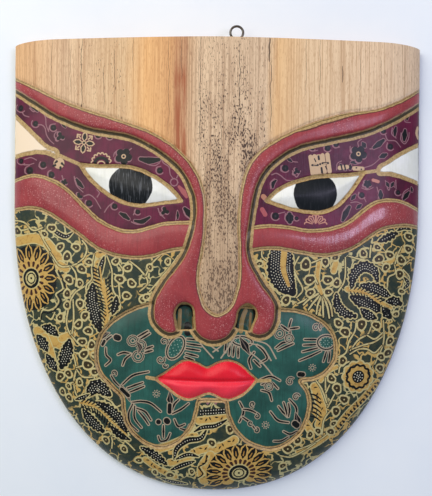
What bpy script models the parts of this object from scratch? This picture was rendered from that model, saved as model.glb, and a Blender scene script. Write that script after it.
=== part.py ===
"""A carved wooden wall mask, hollowed behind, with a small screw eye in its flat top.

The mask lies on its back: +Z comes out of the face, +Y runs from the chin to the cut top, and the
origin lies on the table under the middle of the whole piece, screw eye included.
"""
import math

import bmesh
import bpy
import numpy as np
from mathutils import Vector
from mathutils.geometry import delaunay_2d_cdt

# The board, in metres
WIDTH = 0.300
HEIGHT = 0.3265  # from the chin to the cut top, without the screw eye
THICKNESS = 0.0335  # back rim to the crest of the forehead
SHOULDER = 0.215  # height above the chin at which the straight sides start to turn in
FULLNESS = 2.2  # exponent of the superellipse of the chin, where 2 is a plain ellipse
EDGE = 0.004  # upright edge left along the sides and the chin
SIDE_FALL = 0.014  # how far the crown falls from the middle to the sides
CHIN_FALL = 0.008  # how far the crown falls from the shoulder to the chin
ROUNDING = 0.034  # width of the strip over which the face rounds over to its edge

# The hollow behind the face
RIM = 0.018  # flat rim that the mask lies on
SLOPE = 0.025  # width of the hollow's curved side
WALL = 0.018  # wood left between the hollow's floor and the crest of the forehead

# The carving, as depths below the crown and rises above its own ground
BAND_DROP = 0.0008  # the brow and nose band below the forehead
BAND_ROLL = 0.0010
LID_DROP = 0.0045
EYE_DROP = 0.0062
EYE_BULGE = 0.0036
CHEEK_BAND_DROP = 0.0034
CHEEK_BAND_ROLL = 0.0016
CHEEK_DROP = 0.0036
MUZZLE_DROP = 0.0056
MUZZLE_PILLOW = 0.0022
LIP_RISE = 0.0042
MOUTH_CREASE = 0.0030
NOSTRIL_DROP = 0.0040  # extra depth at the top of each nostril, below the muzzle
GROOVE = 0.0010  # depth of the cut line round each field
CUT = 0.0013  # half the width of a cut line, and of the step between two fields

# The screw eye
EYE_X = 0.0138  # its place along the cut top
EYE_Z = 0.012  # its height above the back
EYE_RING = 0.011  # outer diameter
EYE_WIRE = 0.0017
EYE_NECK = 0.0043  # from the cut top to the underside of the ring
SHANK = 0.0020  # diameter
SHANK_DEPTH = 0.010  # length of the shank in the wood
CLEARANCE = 0.0003  # gap between the shank and its hole

# The facets
CHORD = 0.0003  # how far a drawn curve may stand off its facets
GRID = 0.0105  # spacing of the points between the cut lines
RINGS = (0.0015, 0.0055, 0.012, 0.021, 0.033)  # lines along the edge, where the face rounds over

# The outlines of the carving are points read by eye in a straight-on photograph of the face, in its
# pixels. They stretch with the board, which is as wide and as high there as these two say.
DRAWN_WIDTH, DRAWN_HEIGHT = 0.300, 0.3265
VIEW_MIDDLE = (216, 248)  # the pixel straight under the lens
VIEW_HALF = 202  # pixels from the middle to the board's edge
VIEW_UP = 0.179  # from the chin to that pixel's place on the face
LENS_AWAY = 0.4465  # from the lens to the crest of the forehead
PIXEL = 0.000697  # the size of a pixel on that crest
EDGE_FROM = 0.866  # where the face rounds over, as a share of the way to the edge
FALL_FROM, FALL_LENGTH = -0.257, 1.51  # where the face falls to the chin, as shares of that way too
SIDE_GROWTH, EDGE_GROWTH, CHIN_GROWTH = 0.030, 0.034, 0.018  # of a pixel's size, where wood lies lower
SUNK, DEEP = 0.003, 0.005  # how far below the crown the sunk fields and the muzzle lie


def read(points, depth=0.0):
    """Points of the drawing, across from the middle and up from the chin, from their pixels.

    A pixel covers more of the wood where that lies further from the lens. Its size grows as the
    1.5th power towards the sides, as a square over the rounded edge and towards the chin, and with
    the depth of the field whose outline it is.
    """
    across, down = ((np.array(points, float) - VIEW_MIDDLE) / VIEW_HALF).T
    aside = np.abs(across)
    over_edge = np.clip(aside - EDGE_FROM, 0, None) / (1 - EDGE_FROM)
    to_chin = np.clip(down - FALL_FROM, 0, None) / FALL_LENGTH
    growth = (SIDE_GROWTH * aside**1.5 + EDGE_GROWTH * over_edge**2 + CHIN_GROWTH * to_chin**2
              + depth / LENS_AWAY)
    size = PIXEL * VIEW_HALF * (1 + growth)
    return np.c_[across * size, VIEW_UP - down * size]


BROW_AND_BRIDGE = read([
    (10, 78), (20, 82), (70, 104.5), (130, 124), (150, 131.5), (197.5, 173), (204, 190), (206, 228),
    (201.5, 293), (207, 307.5), (218, 314), (229, 307.5), (236, 291), (238, 248), (237, 220),
    (251, 158.5), (300, 126), (340, 112.5), (380, 106), (412, 91), (424, 82),
])
NOSE_LEFT = read([
    (10, 89), (35, 104), (50, 113.5), (80, 126), (140, 140), (187, 179), (194, 196.5), (186.5, 252),
    (161, 290), (155, 302), (157, 325), (172, 334), (177.5, 332),
])
NOSTRIL_LEFT = read([
    (177.5, 332), (176, 323), (175, 313), (178.5, 306), (185, 303.5), (191.5, 306), (195, 323),
    (196, 331),
])
NOSE_TIP = read([(196, 331), (201, 337), (215, 341.5), (229, 336), (234, 329)])
NOSTRIL_RIGHT = read([
    (234, 329), (237, 321), (238.5, 312), (248, 304), (254, 306.5), (257.5, 313), (253, 328),
    (252, 333),
])
NOSE_RIGHT = read([
    (252, 333), (259, 335.5), (267, 333.5), (276, 306), (262, 284), (248, 256), (249.5, 220),
    (264, 170), (301, 144), (324, 138.5), (372, 126.5), (410, 107), (424, 97),
])
LEFT_EYE_TOP = read([(79, 165.5), (90, 166.5), (135, 169), (173, 191.5), (181, 201)], SUNK)
LEFT_EYE_LOW = read([(181, 201), (171, 202), (132, 205.5), (86, 176), (79, 165.5)], SUNK)
RIGHT_EYE_TOP = read([(266, 200.5), (276, 190.5), (305, 178), (353, 172.8), (364, 171)], SUNK)
RIGHT_EYE_LOW = read([
    (364, 171), (347, 195), (337, 205), (325, 210.5), (295, 209), (266, 200.5),
], SUNK)
LEFT_CHEEK_TOP = read([
    (8, 187), (38, 177.5), (61, 187), (85, 209), (97, 220), (124, 232), (168, 223.8), (193.5, 222.5),
], SUNK)
RIGHT_CHEEK_TOP = read([
    (248, 227.8), (270, 225.5), (290, 227.2), (310, 230), (342, 224.5), (379, 200), (391, 198.5),
    (424, 214),
], SUNK)
LEFT_CHEEK_LOW = read([
    (8, 214), (38, 210.5), (75, 232.5), (101, 251), (146, 257.8), (174, 250), (188, 248.5),
], SUNK)
RIGHT_CHEEK_LOW = read([
    (248, 250.2), (268, 247.7), (334, 253.2), (348, 249), (387, 226.2), (400, 224), (424, 228),
], SUNK)
MUZZLE_LEFT = read([
    (172, 302), (150, 304.5), (99.5, 342), (100, 370), (117, 390.5), (124, 398), (125.5, 410),
    (128, 422), (159, 447), (172, 445.5), (192, 427), (200, 400),
], DEEP)
MUZZLE_RIGHT = read([
    (228, 400), (229.5, 412), (245, 438), (274, 448), (300, 433), (308, 390), (301, 380),
    (314, 377.5), (326, 371.5), (334, 361), (333.5, 333), (308, 313), (272, 308),
], DEEP)
LIP_TOP = read([
    (157, 379.5), (166, 374), (188, 361.5), (198, 364), (208, 368.5), (218, 364), (229, 361),
    (240, 364.5), (250, 373), (258, 380.5),
], SUNK)
LIP_LOW = read([
    (258, 380.5), (240, 396.5), (228, 400), (209, 393.5), (200, 397), (190, 399.7), (167, 387),
    (157, 379.5),
], SUNK)
MOUTH = read([(157, 379.5), (180, 381), (210, 382), (240, 381.5), (258, 380.5)], SUNK)
HIGH_CURVES = (BROW_AND_BRIDGE, NOSE_LEFT, NOSTRIL_LEFT, NOSE_TIP, NOSTRIL_RIGHT, NOSE_RIGHT)
LOW_CURVES = (LEFT_CHEEK_TOP, RIGHT_CHEEK_TOP, LEFT_CHEEK_LOW, RIGHT_CHEEK_LOW,
              LEFT_EYE_TOP, LEFT_EYE_LOW, RIGHT_EYE_TOP, RIGHT_EYE_LOW,
              MUZZLE_LEFT, MUZZLE_RIGHT, LIP_TOP, LIP_LOW)

# Worked out from the sizes above
HALF = WIDTH / 2
RING_RADIUS = (EYE_RING - EYE_WIRE) / 2
EYE_REACH = EYE_NECK + EYE_RING
CHIN = -(HEIGHT + EYE_REACH) / 2
TOP = CHIN + HEIGHT
HOLLOW = THICKNESS - WALL


def spline(points, steps=12):
    """Smooth curve through the points: Hermite pieces whose slopes lean to the nearer neighbour."""
    p = np.array(points, float)
    p = np.vstack([2 * p[0] - p[1], p, 2 * p[-1] - p[-2]])
    t = np.linspace(0, 1, steps, endpoint=False)[:, None]
    pieces = []
    for a, b, c, d in zip(p[:-3], p[1:-2], p[2:-1], p[3:]):
        before, here, after = np.linalg.norm(b - a), np.linalg.norm(c - b), np.linalg.norm(d - c)
        start = here * ((b - a) / before * here + (c - b) / here * before) / (before + here)
        end = here * ((c - b) / here * after + (d - c) / after * here) / (here + after)
        pieces.append((2 * t**3 - 3 * t**2 + 1) * b + (t**3 - 2 * t**2 + t) * start
                      + (3 * t**2 - 2 * t**3) * c + (t**3 - t**2) * end)
    return np.vstack(pieces + [p[-2:-1]])


def thin(points, tolerance):
    """The fewest of the points whose straight facets stay within the tolerance of the rest."""
    if len(points) < 3:
        return points
    along = points[-1] - points[0]
    length = max(np.linalg.norm(along), 1e-9)
    if length < tolerance:
        off = np.linalg.norm(points - points[0], axis=1)
    else:
        off = np.abs(np.cross(along, points - points[0])) / length
    far = int(off.argmax())
    if off[far] <= tolerance:
        return points[[0, -1]]
    return np.vstack([thin(points[:far + 1], tolerance)[:-1], thin(points[far:], tolerance)])


def drawn(points):
    """A curve of the drawing, laid on the board and cut into facets."""
    scale = np.array([WIDTH / DRAWN_WIDTH, HEIGHT / DRAWN_HEIGHT])
    curve = spline(points) * scale + [0, CHIN]
    return thin(curve, CHORD)


def sides(inset=0.0, count=64):
    """The board's edge from top right round the chin to top left, moved inwards by the inset."""
    angle = np.linspace(0, math.pi, count + 1)
    cos, sin = np.cos(angle), np.sin(angle)
    x = HALF * np.sign(cos) * np.abs(cos) ** (2 / FULLNESS)
    y = CHIN + SHOULDER - SHOULDER * sin ** (2 / FULLNESS)
    arc = np.c_[x, y]
    normal = np.c_[np.sign(cos) * np.abs(x / HALF) ** (FULLNESS - 1) / HALF,
                   -np.abs((y - CHIN - SHOULDER) / SHOULDER) ** (FULLNESS - 1) / SHOULDER]
    arc = arc - inset * normal / np.linalg.norm(normal, axis=1)[:, None]
    return np.vstack([[HALF - inset, TOP], arc, [inset - HALF, TOP]])


def nearest(points, line):
    """Distance from each point to an open line."""
    a, b = line[:-1], line[1:]
    along = b - a
    share = ((points[:, None] - a) * along).sum(2) / np.maximum((along**2).sum(1), 1e-18)
    foot = a + np.clip(share, 0, 1)[..., None] * along
    return np.linalg.norm(points[:, None] - foot, axis=2).min(1)


def depth_inside(points, loop):
    """Distance from each point to a closed loop, positive inside it and negative outside."""
    line = np.vstack([loop, loop[:1]])
    a, b = line[:-1], line[1:]
    x, y = points[:, :1], points[:, 1:]
    straddles = (a[:, 1] > y) != (b[:, 1] > y)
    rise = np.where(b[:, 1] == a[:, 1], 1.0, b[:, 1] - a[:, 1])
    crossing = a[:, 0] + (y - a[:, 1]) / rise * (b[:, 0] - a[:, 0])
    inside = ((crossing > x) & straddles).sum(1) % 2 == 1
    return np.where(inside, 1, -1) * nearest(points, line)


def fields():
    """The closed outlines of the carved fields, cut deeper than their neighbours or raised."""
    above = np.array([(2 * HALF, 2 * TOP), (-2 * HALF, 2 * TOP)])
    nose = [drawn(c) for c in (NOSE_LEFT, NOSTRIL_LEFT, NOSE_TIP, NOSTRIL_RIGHT, NOSE_RIGHT)]
    cheek_top = [drawn(LEFT_CHEEK_TOP), drawn(RIGHT_CHEEK_TOP)]
    cheek_low = [drawn(RIGHT_CHEEK_LOW)[::-1], drawn(LEFT_CHEEK_LOW)[::-1]]
    return {
        "forehead": np.vstack([drawn(BROW_AND_BRIDGE), above]),
        "front": np.vstack(nose + [above]),
        "lids": np.vstack(cheek_top + [above]),
        "cheek_band": np.vstack(cheek_top + cheek_low),
        "left_eye": np.vstack([drawn(LEFT_EYE_TOP), drawn(LEFT_EYE_LOW)]),
        "right_eye": np.vstack([drawn(RIGHT_EYE_TOP), drawn(RIGHT_EYE_LOW)]),
        "muzzle": np.vstack([drawn(MUZZLE_LEFT), drawn(MUZZLE_RIGHT)]),
        "lips": np.vstack([drawn(LIP_TOP), drawn(LIP_LOW)]),
        "left_nostril": drawn(NOSTRIL_LEFT),
        "right_nostril": drawn(NOSTRIL_RIGHT),
    }


def groove(points, curves):
    """Depth of the cut line that runs along each of the curves, between two fields."""
    away = np.min([nearest(points, drawn(curve)) for curve in curves], axis=0)
    return GROOVE * np.clip(1 - away / CUT, 0, 1)


def rounding(distance):
    """Share of its full height that the face has at a distance from its edge."""
    return (1 - (1 - np.clip(distance / ROUNDING, 0, 1)) ** 2) ** 0.6


def pillow(inside, width, rise):
    """A cushion that rises from a field's edge to its full height, a width further in."""
    return rise * (1 - (1 - np.clip(inside / width, 0, 1)) ** 2)


def lay(ground, inside, level):
    """The ground with a field laid on it, the step between them as wide as a cut line."""
    share = np.clip(inside / CUT * 0.5 + 0.5, 0, 1)
    return ground + (level - ground) * share


def relief(points):
    """Height of the carving above the crown, field upon field."""
    inside = {name: depth_inside(points, loop) for name, loop in fields().items()}
    front_edge = inside["front"]
    band = np.minimum(front_edge, -inside["forehead"])
    level = np.full(len(points), -CHEEK_DROP)
    level = lay(level, inside["lids"], -LID_DROP)
    level = lay(level, inside["cheek_band"],
                pillow(inside["cheek_band"], 0.008, CHEEK_BAND_ROLL) - CHEEK_BAND_DROP)
    for eye in ("left_eye", "right_eye"):
        level = lay(level, inside[eye], pillow(inside[eye], 0.014, EYE_BULGE) - EYE_DROP)
    level = lay(level, inside["muzzle"],
                pillow(inside["muzzle"], 0.012, MUZZLE_PILLOW) - MUZZLE_DROP)
    level = lay(level, inside["lips"], pillow(inside["lips"], 0.008, LIP_RISE) - MUZZLE_DROP)
    for nostril in ("left_nostril", "right_nostril"):
        level = level - pillow(inside[nostril], 0.005, NOSTRIL_DROP)
    level = level - groove(points, LOW_CURVES)
    level = lay(level, front_edge, pillow(band, 0.007, BAND_ROLL) - BAND_DROP)
    level = lay(level, inside["forehead"], 0.0) - groove(points, HIGH_CURVES)
    mouth = nearest(points, drawn(MOUTH))
    return level - MOUTH_CREASE * np.clip(1 - mouth / 0.003, 0, 1) * (inside["lips"] > 0)


def front_height(points):
    """Height of the carved face above the table."""
    across = np.abs(points[:, 0]) / HALF
    down = np.clip(1 - (points[:, 1] - CHIN) / SHOULDER, 0, 1)
    crown = THICKNESS - SIDE_FALL * across**1.5 - CHIN_FALL * down**2
    edge = nearest(points, sides())
    return EDGE + (crown + relief(points) - EDGE) * rounding(edge)


def back_height(points):
    """Height of the hollow's surface above the table, nothing on the rim."""
    line = sides()
    edge = np.minimum(nearest(points, line), TOP - points[:, 1])
    share = np.clip((edge - RIM) / SLOPE, 0, 1)
    return HOLLOW * np.sin(share * math.pi / 2)


def shifted(line, offset):
    """A line moved sideways by an offset."""
    run = np.gradient(line, axis=0)
    run /= np.maximum(np.linalg.norm(run, axis=1), 1e-9)[:, None]
    return line + offset * np.c_[-run[:, 1], run[:, 0]]


def between(lines, spacing, clear):
    """Staggered points inside the board that keep clear of the lines."""
    rows = np.arange(CHIN + spacing / 2, TOP, spacing * 0.87)
    points = []
    for number, y in enumerate(rows):
        xs = np.arange(-HALF + spacing * (0.5 + 0.5 * (number % 2)), HALF, spacing)
        points.append(np.c_[xs, np.full(len(xs), y)])
    points = np.vstack(points)
    keep = depth_inside(points, sides()) > clear
    for line in lines:
        keep &= nearest(points, line) > clear
    return points[keep]


def triangulate(outline, lines, loose):
    """Triangles that follow the closed outline and the lines, and use the loose points too."""
    points, edges = [], []
    for line, closed in [(outline, True)] + [(line, False) for line in lines]:
        first, count = len(points), len(line)
        points += [Vector(p) for p in line]
        edges += [(first + i, first + i + 1) for i in range(count - 1)]
        if closed:
            edges.append((first + count - 1, first))
    points += [Vector(p) for p in loose]
    found = delaunay_2d_cdt(points, edges, [], 0, 1e-5)
    flat = np.array([tuple(p) for p in found[0]])
    faces = np.array([tuple(f) for f in found[2]])
    middle = flat[faces].mean(axis=1)
    faces = faces[depth_inside(middle, outline) > 0]
    used = np.unique(faces)
    number = np.full(len(flat), -1)
    number[used] = np.arange(len(used))
    return flat[used], number[faces]


def border(faces):
    """The vertices along the open edge of a sheet of triangles, in order."""
    sides_of = {}
    for a, b, c in faces:
        for start, end in ((a, b), (b, c), (c, a)):
            sides_of[(start, end)] = True
    following = {start: end for start, end in sides_of if (end, start) not in sides_of}
    first = min(following)
    loop = [first]
    while following[loop[-1]] != first:
        loop.append(following[loop[-1]])
    return loop


def make_mask():
    """The carved board: its face, its edge, its flat rim and its hollow, as one closed body."""
    cuts = [drawn(curve) for curve in HIGH_CURVES + LOW_CURVES]
    lines = [shifted(line, offset) for line in cuts for offset in (-CUT, 0.0, CUT)]
    lines.append(drawn(MOUTH))
    lines += [thin(sides(inset), CHORD * 0.7) for inset in RINGS]
    outline = thin(sides(), CHORD * 0.5)
    loose = between(lines, GRID, GRID * 0.42)
    flat, front = triangulate(outline, lines, loose)
    loop = border(front)

    hollow_rings = []
    for share in (0.0, 0.15, 0.35, 0.6, 1.0):
        inset = RIM + SLOPE * share
        ring = thin(sides(inset), CHORD)
        ring = ring[(ring[:, 1] < TOP - inset)]
        top_corners = [(HALF - inset, TOP - inset), (inset - HALF, TOP - inset)]
        hollow_rings.append(np.vstack([top_corners[0], ring, top_corners[1], top_corners[0]]))
    back_flat, back = triangulate(flat[loop], hollow_rings, [])
    back_loop = [int(np.linalg.norm(back_flat - flat[i], axis=1).argmin()) for i in loop]

    bm = bmesh.new()
    heights = front_height(flat)
    top_verts = [bm.verts.new((x, y, z)) for (x, y), z in zip(flat, heights)]
    low_heights = back_height(back_flat)
    low_verts = [bm.verts.new((x, y, z)) for (x, y), z in zip(back_flat, low_heights)]
    for a, b, c in front:
        bm.faces.new((top_verts[a], top_verts[b], top_verts[c]))
    for a, b, c in back:
        bm.faces.new((low_verts[c], low_verts[b], low_verts[a]))
    for i in range(len(loop)):
        j = (i + 1) % len(loop)
        bm.faces.new((top_verts[loop[j]], top_verts[loop[i]],
                      low_verts[back_loop[i]], low_verts[back_loop[j]]))
    bmesh.ops.triangulate(bm, faces=[f for f in bm.faces if len(f.verts) > 3])
    mesh = bpy.data.meshes.new("mask")
    bm.to_mesh(mesh)
    bm.free()
    mask = bpy.data.objects.new("mask", mesh)
    bpy.context.collection.objects.link(mask)
    mask.data.shade_smooth()
    mask.data.set_sharp_from_angle(angle=math.radians(28))
    return mask


def rod(name, radius, start, end, sides_round=12):
    """A straight rod along Y at the screw eye's place."""
    bpy.ops.mesh.primitive_cylinder_add(
        vertices=sides_round, radius=radius, depth=end - start,
        location=(EYE_X, (start + end) / 2, EYE_Z), rotation=(math.pi / 2, 0, 0))
    made = bpy.context.object
    made.name = name
    bpy.ops.object.transform_apply(location=True, rotation=True, scale=True)
    made.data.shade_smooth()
    made.data.set_sharp_from_angle(angle=math.radians(40))
    return made


def drill(mask):
    """The hole for the shank, in the end grain of the cut top."""
    depth = SHANK_DEPTH + CLEARANCE
    cutter = rod("shank_hole", SHANK / 2 + CLEARANCE, TOP - depth, TOP + EYE_NECK)
    cutter.hide_render = True
    cutter.display_type = "WIRE"
    hole = mask.modifiers.new("shank_hole", "BOOLEAN")
    hole.operation = "DIFFERENCE"
    hole.object = cutter


def make_screw_eye():
    """The wire ring, lying parallel to the back, with its neck and the shank in the wood."""
    ring_y = TOP + EYE_NECK + EYE_RING / 2
    bpy.ops.mesh.primitive_torus_add(
        major_segments=28, minor_segments=8, major_radius=RING_RADIUS, minor_radius=EYE_WIRE / 2,
        location=(EYE_X, ring_y, EYE_Z))
    ring = bpy.context.object
    ring.name = "screw_eye"
    bpy.ops.object.transform_apply(location=True, rotation=True, scale=True)
    ring.data.shade_smooth()
    shank = rod("shank", SHANK / 2, TOP - SHANK_DEPTH, ring_y - RING_RADIUS)
    shank.hide_render = True
    shank.display_type = "WIRE"
    joined = ring.modifiers.new("shank", "BOOLEAN")
    joined.operation = "UNION"
    joined.object = shank
    return ring


def finish(made, name, colour, roughness, metallic):
    """Give an object its own material."""
    material = bpy.data.materials.new(name)
    material.use_nodes = True
    shader = material.node_tree.nodes["Principled BSDF"]
    shader.inputs["Base Color"].default_value = (*colour, 1.0)
    shader.inputs["Roughness"].default_value = roughness
    shader.inputs["Metallic"].default_value = metallic
    made.data.materials.clear()
    made.data.materials.append(material)


for old in list(bpy.data.objects):
    bpy.data.objects.remove(old, do_unlink=True)
carved = make_mask()
drill(carved)
finish(carved, "carved_wood", (0.62, 0.41, 0.24), 0.6, 0.0)
finish(make_screw_eye(), "dark_steel", (0.12, 0.11, 0.10), 0.4, 1.0)
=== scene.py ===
"""The looks of a painted wooden wall mask that lies on its back on a pale table.

The carved front is one height surface over a grid of rows and columns, closed by rings that run down
its edge and into its hollow back. The paint is worked out from how far each point lies from the
carved outlines, and the batik drawing is strokes and dots that the shader draws from their own
coordinates, so its lines stay sharp however near the camera comes.
"""
import math

import bpy
import numpy as np
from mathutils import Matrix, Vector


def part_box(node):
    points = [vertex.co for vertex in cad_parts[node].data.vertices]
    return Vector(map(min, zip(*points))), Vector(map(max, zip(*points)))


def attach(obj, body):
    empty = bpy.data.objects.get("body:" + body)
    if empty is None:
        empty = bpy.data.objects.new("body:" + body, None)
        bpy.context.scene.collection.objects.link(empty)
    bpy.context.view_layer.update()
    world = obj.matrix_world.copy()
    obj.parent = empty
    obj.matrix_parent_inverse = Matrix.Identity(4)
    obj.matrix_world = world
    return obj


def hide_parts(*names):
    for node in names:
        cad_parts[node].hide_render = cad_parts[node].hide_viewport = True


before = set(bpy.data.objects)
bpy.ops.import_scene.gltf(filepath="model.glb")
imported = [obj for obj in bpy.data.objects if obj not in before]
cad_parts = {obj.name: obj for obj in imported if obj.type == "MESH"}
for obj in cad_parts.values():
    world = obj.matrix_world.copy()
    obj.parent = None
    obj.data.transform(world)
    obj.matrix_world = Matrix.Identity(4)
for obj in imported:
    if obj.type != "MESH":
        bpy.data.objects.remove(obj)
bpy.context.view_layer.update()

MM = 0.001
FULL_TURN = 2 * math.pi

# The board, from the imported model
BOARD_LOW, BOARD_HIGH = (np.array(corner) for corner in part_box("mask"))
RING_LOW, RING_HIGH = (np.array(corner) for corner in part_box("screw_eye"))
HALF = (BOARD_HIGH[0] - BOARD_LOW[0]) / 2
CHIN, TOP = BOARD_LOW[1], BOARD_HIGH[1]
HEIGHT = TOP - CHIN
THICKNESS = BOARD_HIGH[2]

# The board's own form, as the construction has it, in metres
SHOULDER = 0.215
FULLNESS = 2.2
EDGE = 0.004
SIDE_FALL = 0.014
CHIN_FALL = 0.008
ROUNDING = 0.034
RIM = 0.018
SLOPE = 0.025
HOLLOW = 0.0155
BAND_DROP, BAND_ROLL = 0.0008, 0.0010
LID_DROP = 0.0045
EYE_DROP, EYE_BULGE = 0.0062, 0.0036
CHEEK_BAND_DROP, CHEEK_BAND_ROLL = 0.0034, 0.0016
CHEEK_DROP = 0.0036
MUZZLE_DROP, MUZZLE_PILLOW = 0.0056, 0.0022
LIP_RISE = 0.0042
MOUTH_CREASE = 0.0030
NOSTRIL_DROP = 0.0040
GROOVE = 0.0010
CUT = 0.0013

# The camera hangs straight over the face, at the height from which the cut top bows as it should
CAMERA_HEIGHT = 0.480
CAMERA_Y = CHIN + 0.179
FOCAL_PIXELS = 641.0
FRAME_HIGH = 496  # the height of that view in pixels
SENSOR = 36.0
CAMERA_ROLL = math.radians(0.5)

# The grid of the front: columns across, rows up, closer together where the face rounds over
COLUMNS = 256
ROWS = 288
FIRST_ROW = 0.05
EDGE_CROWDING = 0.62

# The outlines of the carving are points read off a straight-on photograph of the face, in its
# pixels. They stretch with the board, which is as wide and as high there as these two say.
DRAWN_WIDTH, DRAWN_HEIGHT = 0.300, 0.3265
VIEW_MIDDLE = (216, 248)  # the pixel straight under the lens
VIEW_HALF = 202  # pixels from the middle to the board's edge
VIEW_UP = 0.179  # from the chin to that pixel's place on the face
LENS_AWAY = 0.4465  # from the lens to the crest of the forehead
PIXEL = 0.000697  # the size of a pixel on that crest
EDGE_FROM = 0.866  # where the face rounds over, as a share of the way to the edge
FALL_FROM, FALL_LENGTH = -0.257, 1.51  # where the face falls to the chin, as shares of that way too
SIDE_GROWTH, EDGE_GROWTH, CHIN_GROWTH = 0.030, 0.034, 0.018  # of a pixel's size, where wood lies lower
SUNK, DEEP = 0.003, 0.005  # how far below the crown the sunk fields and the muzzle lie


def read(points, depth=0.0):
    """Points of the drawing, across from the middle and up from the chin, from their pixels.

    A pixel covers more of the wood where that lies further from the lens. Its size grows as the
    1.5th power towards the sides, as a square over the rounded edge and towards the chin, and with
    the depth of the field whose outline it is.
    """
    across, down = ((np.array(points, float) - VIEW_MIDDLE) / VIEW_HALF).T
    aside = np.abs(across)
    over_edge = np.clip(aside - EDGE_FROM, 0, None) / (1 - EDGE_FROM)
    to_chin = np.clip(down - FALL_FROM, 0, None) / FALL_LENGTH
    growth = (SIDE_GROWTH * aside**1.5 + EDGE_GROWTH * over_edge**2 + CHIN_GROWTH * to_chin**2
              + depth / LENS_AWAY)
    size = PIXEL * VIEW_HALF * (1 + growth)
    return np.c_[across * size, VIEW_UP - down * size]


BROW_AND_BRIDGE = read([
    (10, 78), (20, 82), (70, 104.5), (130, 124), (150, 131.5), (197.5, 173), (204, 190), (206, 228),
    (201.5, 293), (207, 307.5), (218, 314), (229, 307.5), (236, 291), (238, 248), (237, 220),
    (251, 158.5), (300, 126), (340, 112.5), (380, 106), (412, 91), (424, 82),
])
NOSE_LEFT = read([
    (10, 89), (35, 104), (50, 113.5), (80, 126), (140, 140), (187, 179), (194, 196.5), (186.5, 252),
    (161, 290), (155, 302), (157, 325), (172, 334), (177.5, 332),
])
NOSTRIL_LEFT = read([
    (177.5, 332), (176, 323), (175, 313), (178.5, 306), (185, 303.5), (191.5, 306), (195, 323),
    (196, 331),
])
NOSE_TIP = read([(196, 331), (201, 337), (215, 341.5), (229, 336), (234, 329)])
NOSTRIL_RIGHT = read([
    (234, 329), (237, 321), (238.5, 312), (248, 304), (254, 306.5), (257.5, 313), (253, 328),
    (252, 333),
])
NOSE_RIGHT = read([
    (252, 333), (259, 335.5), (267, 333.5), (276, 306), (262, 284), (248, 256), (249.5, 220),
    (264, 170), (301, 144), (324, 138.5), (372, 126.5), (410, 107), (424, 97),
])
LEFT_EYE_TOP = read([(79, 165.5), (90, 166.5), (135, 169), (173, 191.5), (181, 201)], SUNK)
LEFT_EYE_LOW = read([(181, 201), (171, 202), (132, 205.5), (86, 176), (79, 165.5)], SUNK)
RIGHT_EYE_TOP = read([(266, 200.5), (276, 190.5), (305, 178), (353, 172.8), (364, 171)], SUNK)
RIGHT_EYE_LOW = read([
    (364, 171), (347, 195), (337, 205), (325, 210.5), (295, 209), (266, 200.5),
], SUNK)
LEFT_CHEEK_TOP = read([
    (8, 187), (38, 177.5), (61, 187), (85, 209), (97, 220), (124, 232), (168, 223.8), (193.5, 222.5),
], SUNK)
RIGHT_CHEEK_TOP = read([
    (248, 227.8), (270, 225.5), (290, 227.2), (310, 230), (342, 224.5), (379, 200), (391, 198.5),
    (424, 214),
], SUNK)
LEFT_CHEEK_LOW = read([
    (8, 214), (38, 210.5), (75, 232.5), (101, 251), (146, 257.8), (174, 250), (188, 248.5),
], SUNK)
RIGHT_CHEEK_LOW = read([
    (248, 250.2), (268, 247.7), (334, 253.2), (348, 249), (387, 226.2), (400, 224), (424, 228),
], SUNK)
MUZZLE_LEFT = read([
    (172, 302), (150, 304.5), (99.5, 342), (100, 370), (117, 390.5), (124, 398), (125.5, 410),
    (128, 422), (159, 447), (172, 445.5), (192, 427), (200, 400),
], DEEP)
MUZZLE_RIGHT = read([
    (228, 400), (229.5, 412), (245, 438), (274, 448), (300, 433), (308, 390), (301, 380),
    (314, 377.5), (326, 371.5), (334, 361), (333.5, 333), (308, 313), (272, 308),
], DEEP)
LIP_TOP = read([
    (157, 379.5), (166, 374), (188, 361.5), (198, 364), (208, 368.5), (218, 364), (229, 361),
    (240, 364.5), (250, 373), (258, 380.5),
], SUNK)
LIP_LOW = read([
    (258, 380.5), (240, 396.5), (228, 400), (209, 393.5), (200, 397), (190, 399.7), (167, 387),
    (157, 379.5),
], SUNK)
MOUTH = read([(157, 379.5), (180, 381), (210, 382), (240, 381.5), (258, 380.5)], SUNK)
HIGH_CURVES = (BROW_AND_BRIDGE, NOSE_LEFT, NOSTRIL_LEFT, NOSE_TIP, NOSTRIL_RIGHT, NOSE_RIGHT)
LOW_CURVES = (LEFT_CHEEK_TOP, RIGHT_CHEEK_TOP, LEFT_CHEEK_LOW, RIGHT_CHEEK_LOW,
              LEFT_EYE_TOP, LEFT_EYE_LOW, RIGHT_EYE_TOP, RIGHT_EYE_LOW,
              MUZZLE_LEFT, MUZZLE_RIGHT, LIP_TOP, LIP_LOW)
# White corners beyond the eyes, painted and not carved
LEFT_TEMPLE = read([
    (8, 110), (14, 117), (30, 133), (46, 148), (56, 153), (56, 157), (46, 154), (8, 163),
], SUNK)
RIGHT_TEMPLE = read([
    (424, 140), (388, 160), (378, 168), (378, 170.5), (390, 172), (412, 180), (424, 187),
], SUNK)
LEFT_EYE_TAIL = read([(56, 155.5), (66, 160), (79, 165.5)], SUNK)
RIGHT_EYE_TAIL = read([(364, 171), (371, 170), (378, 169)], SUNK)
LEFT_LIP_TAIL = read([(157, 379.5), (148, 378)], SUNK)
RIGHT_LIP_TAIL = read([(258, 380.5), (271, 380)], SUNK)


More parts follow.
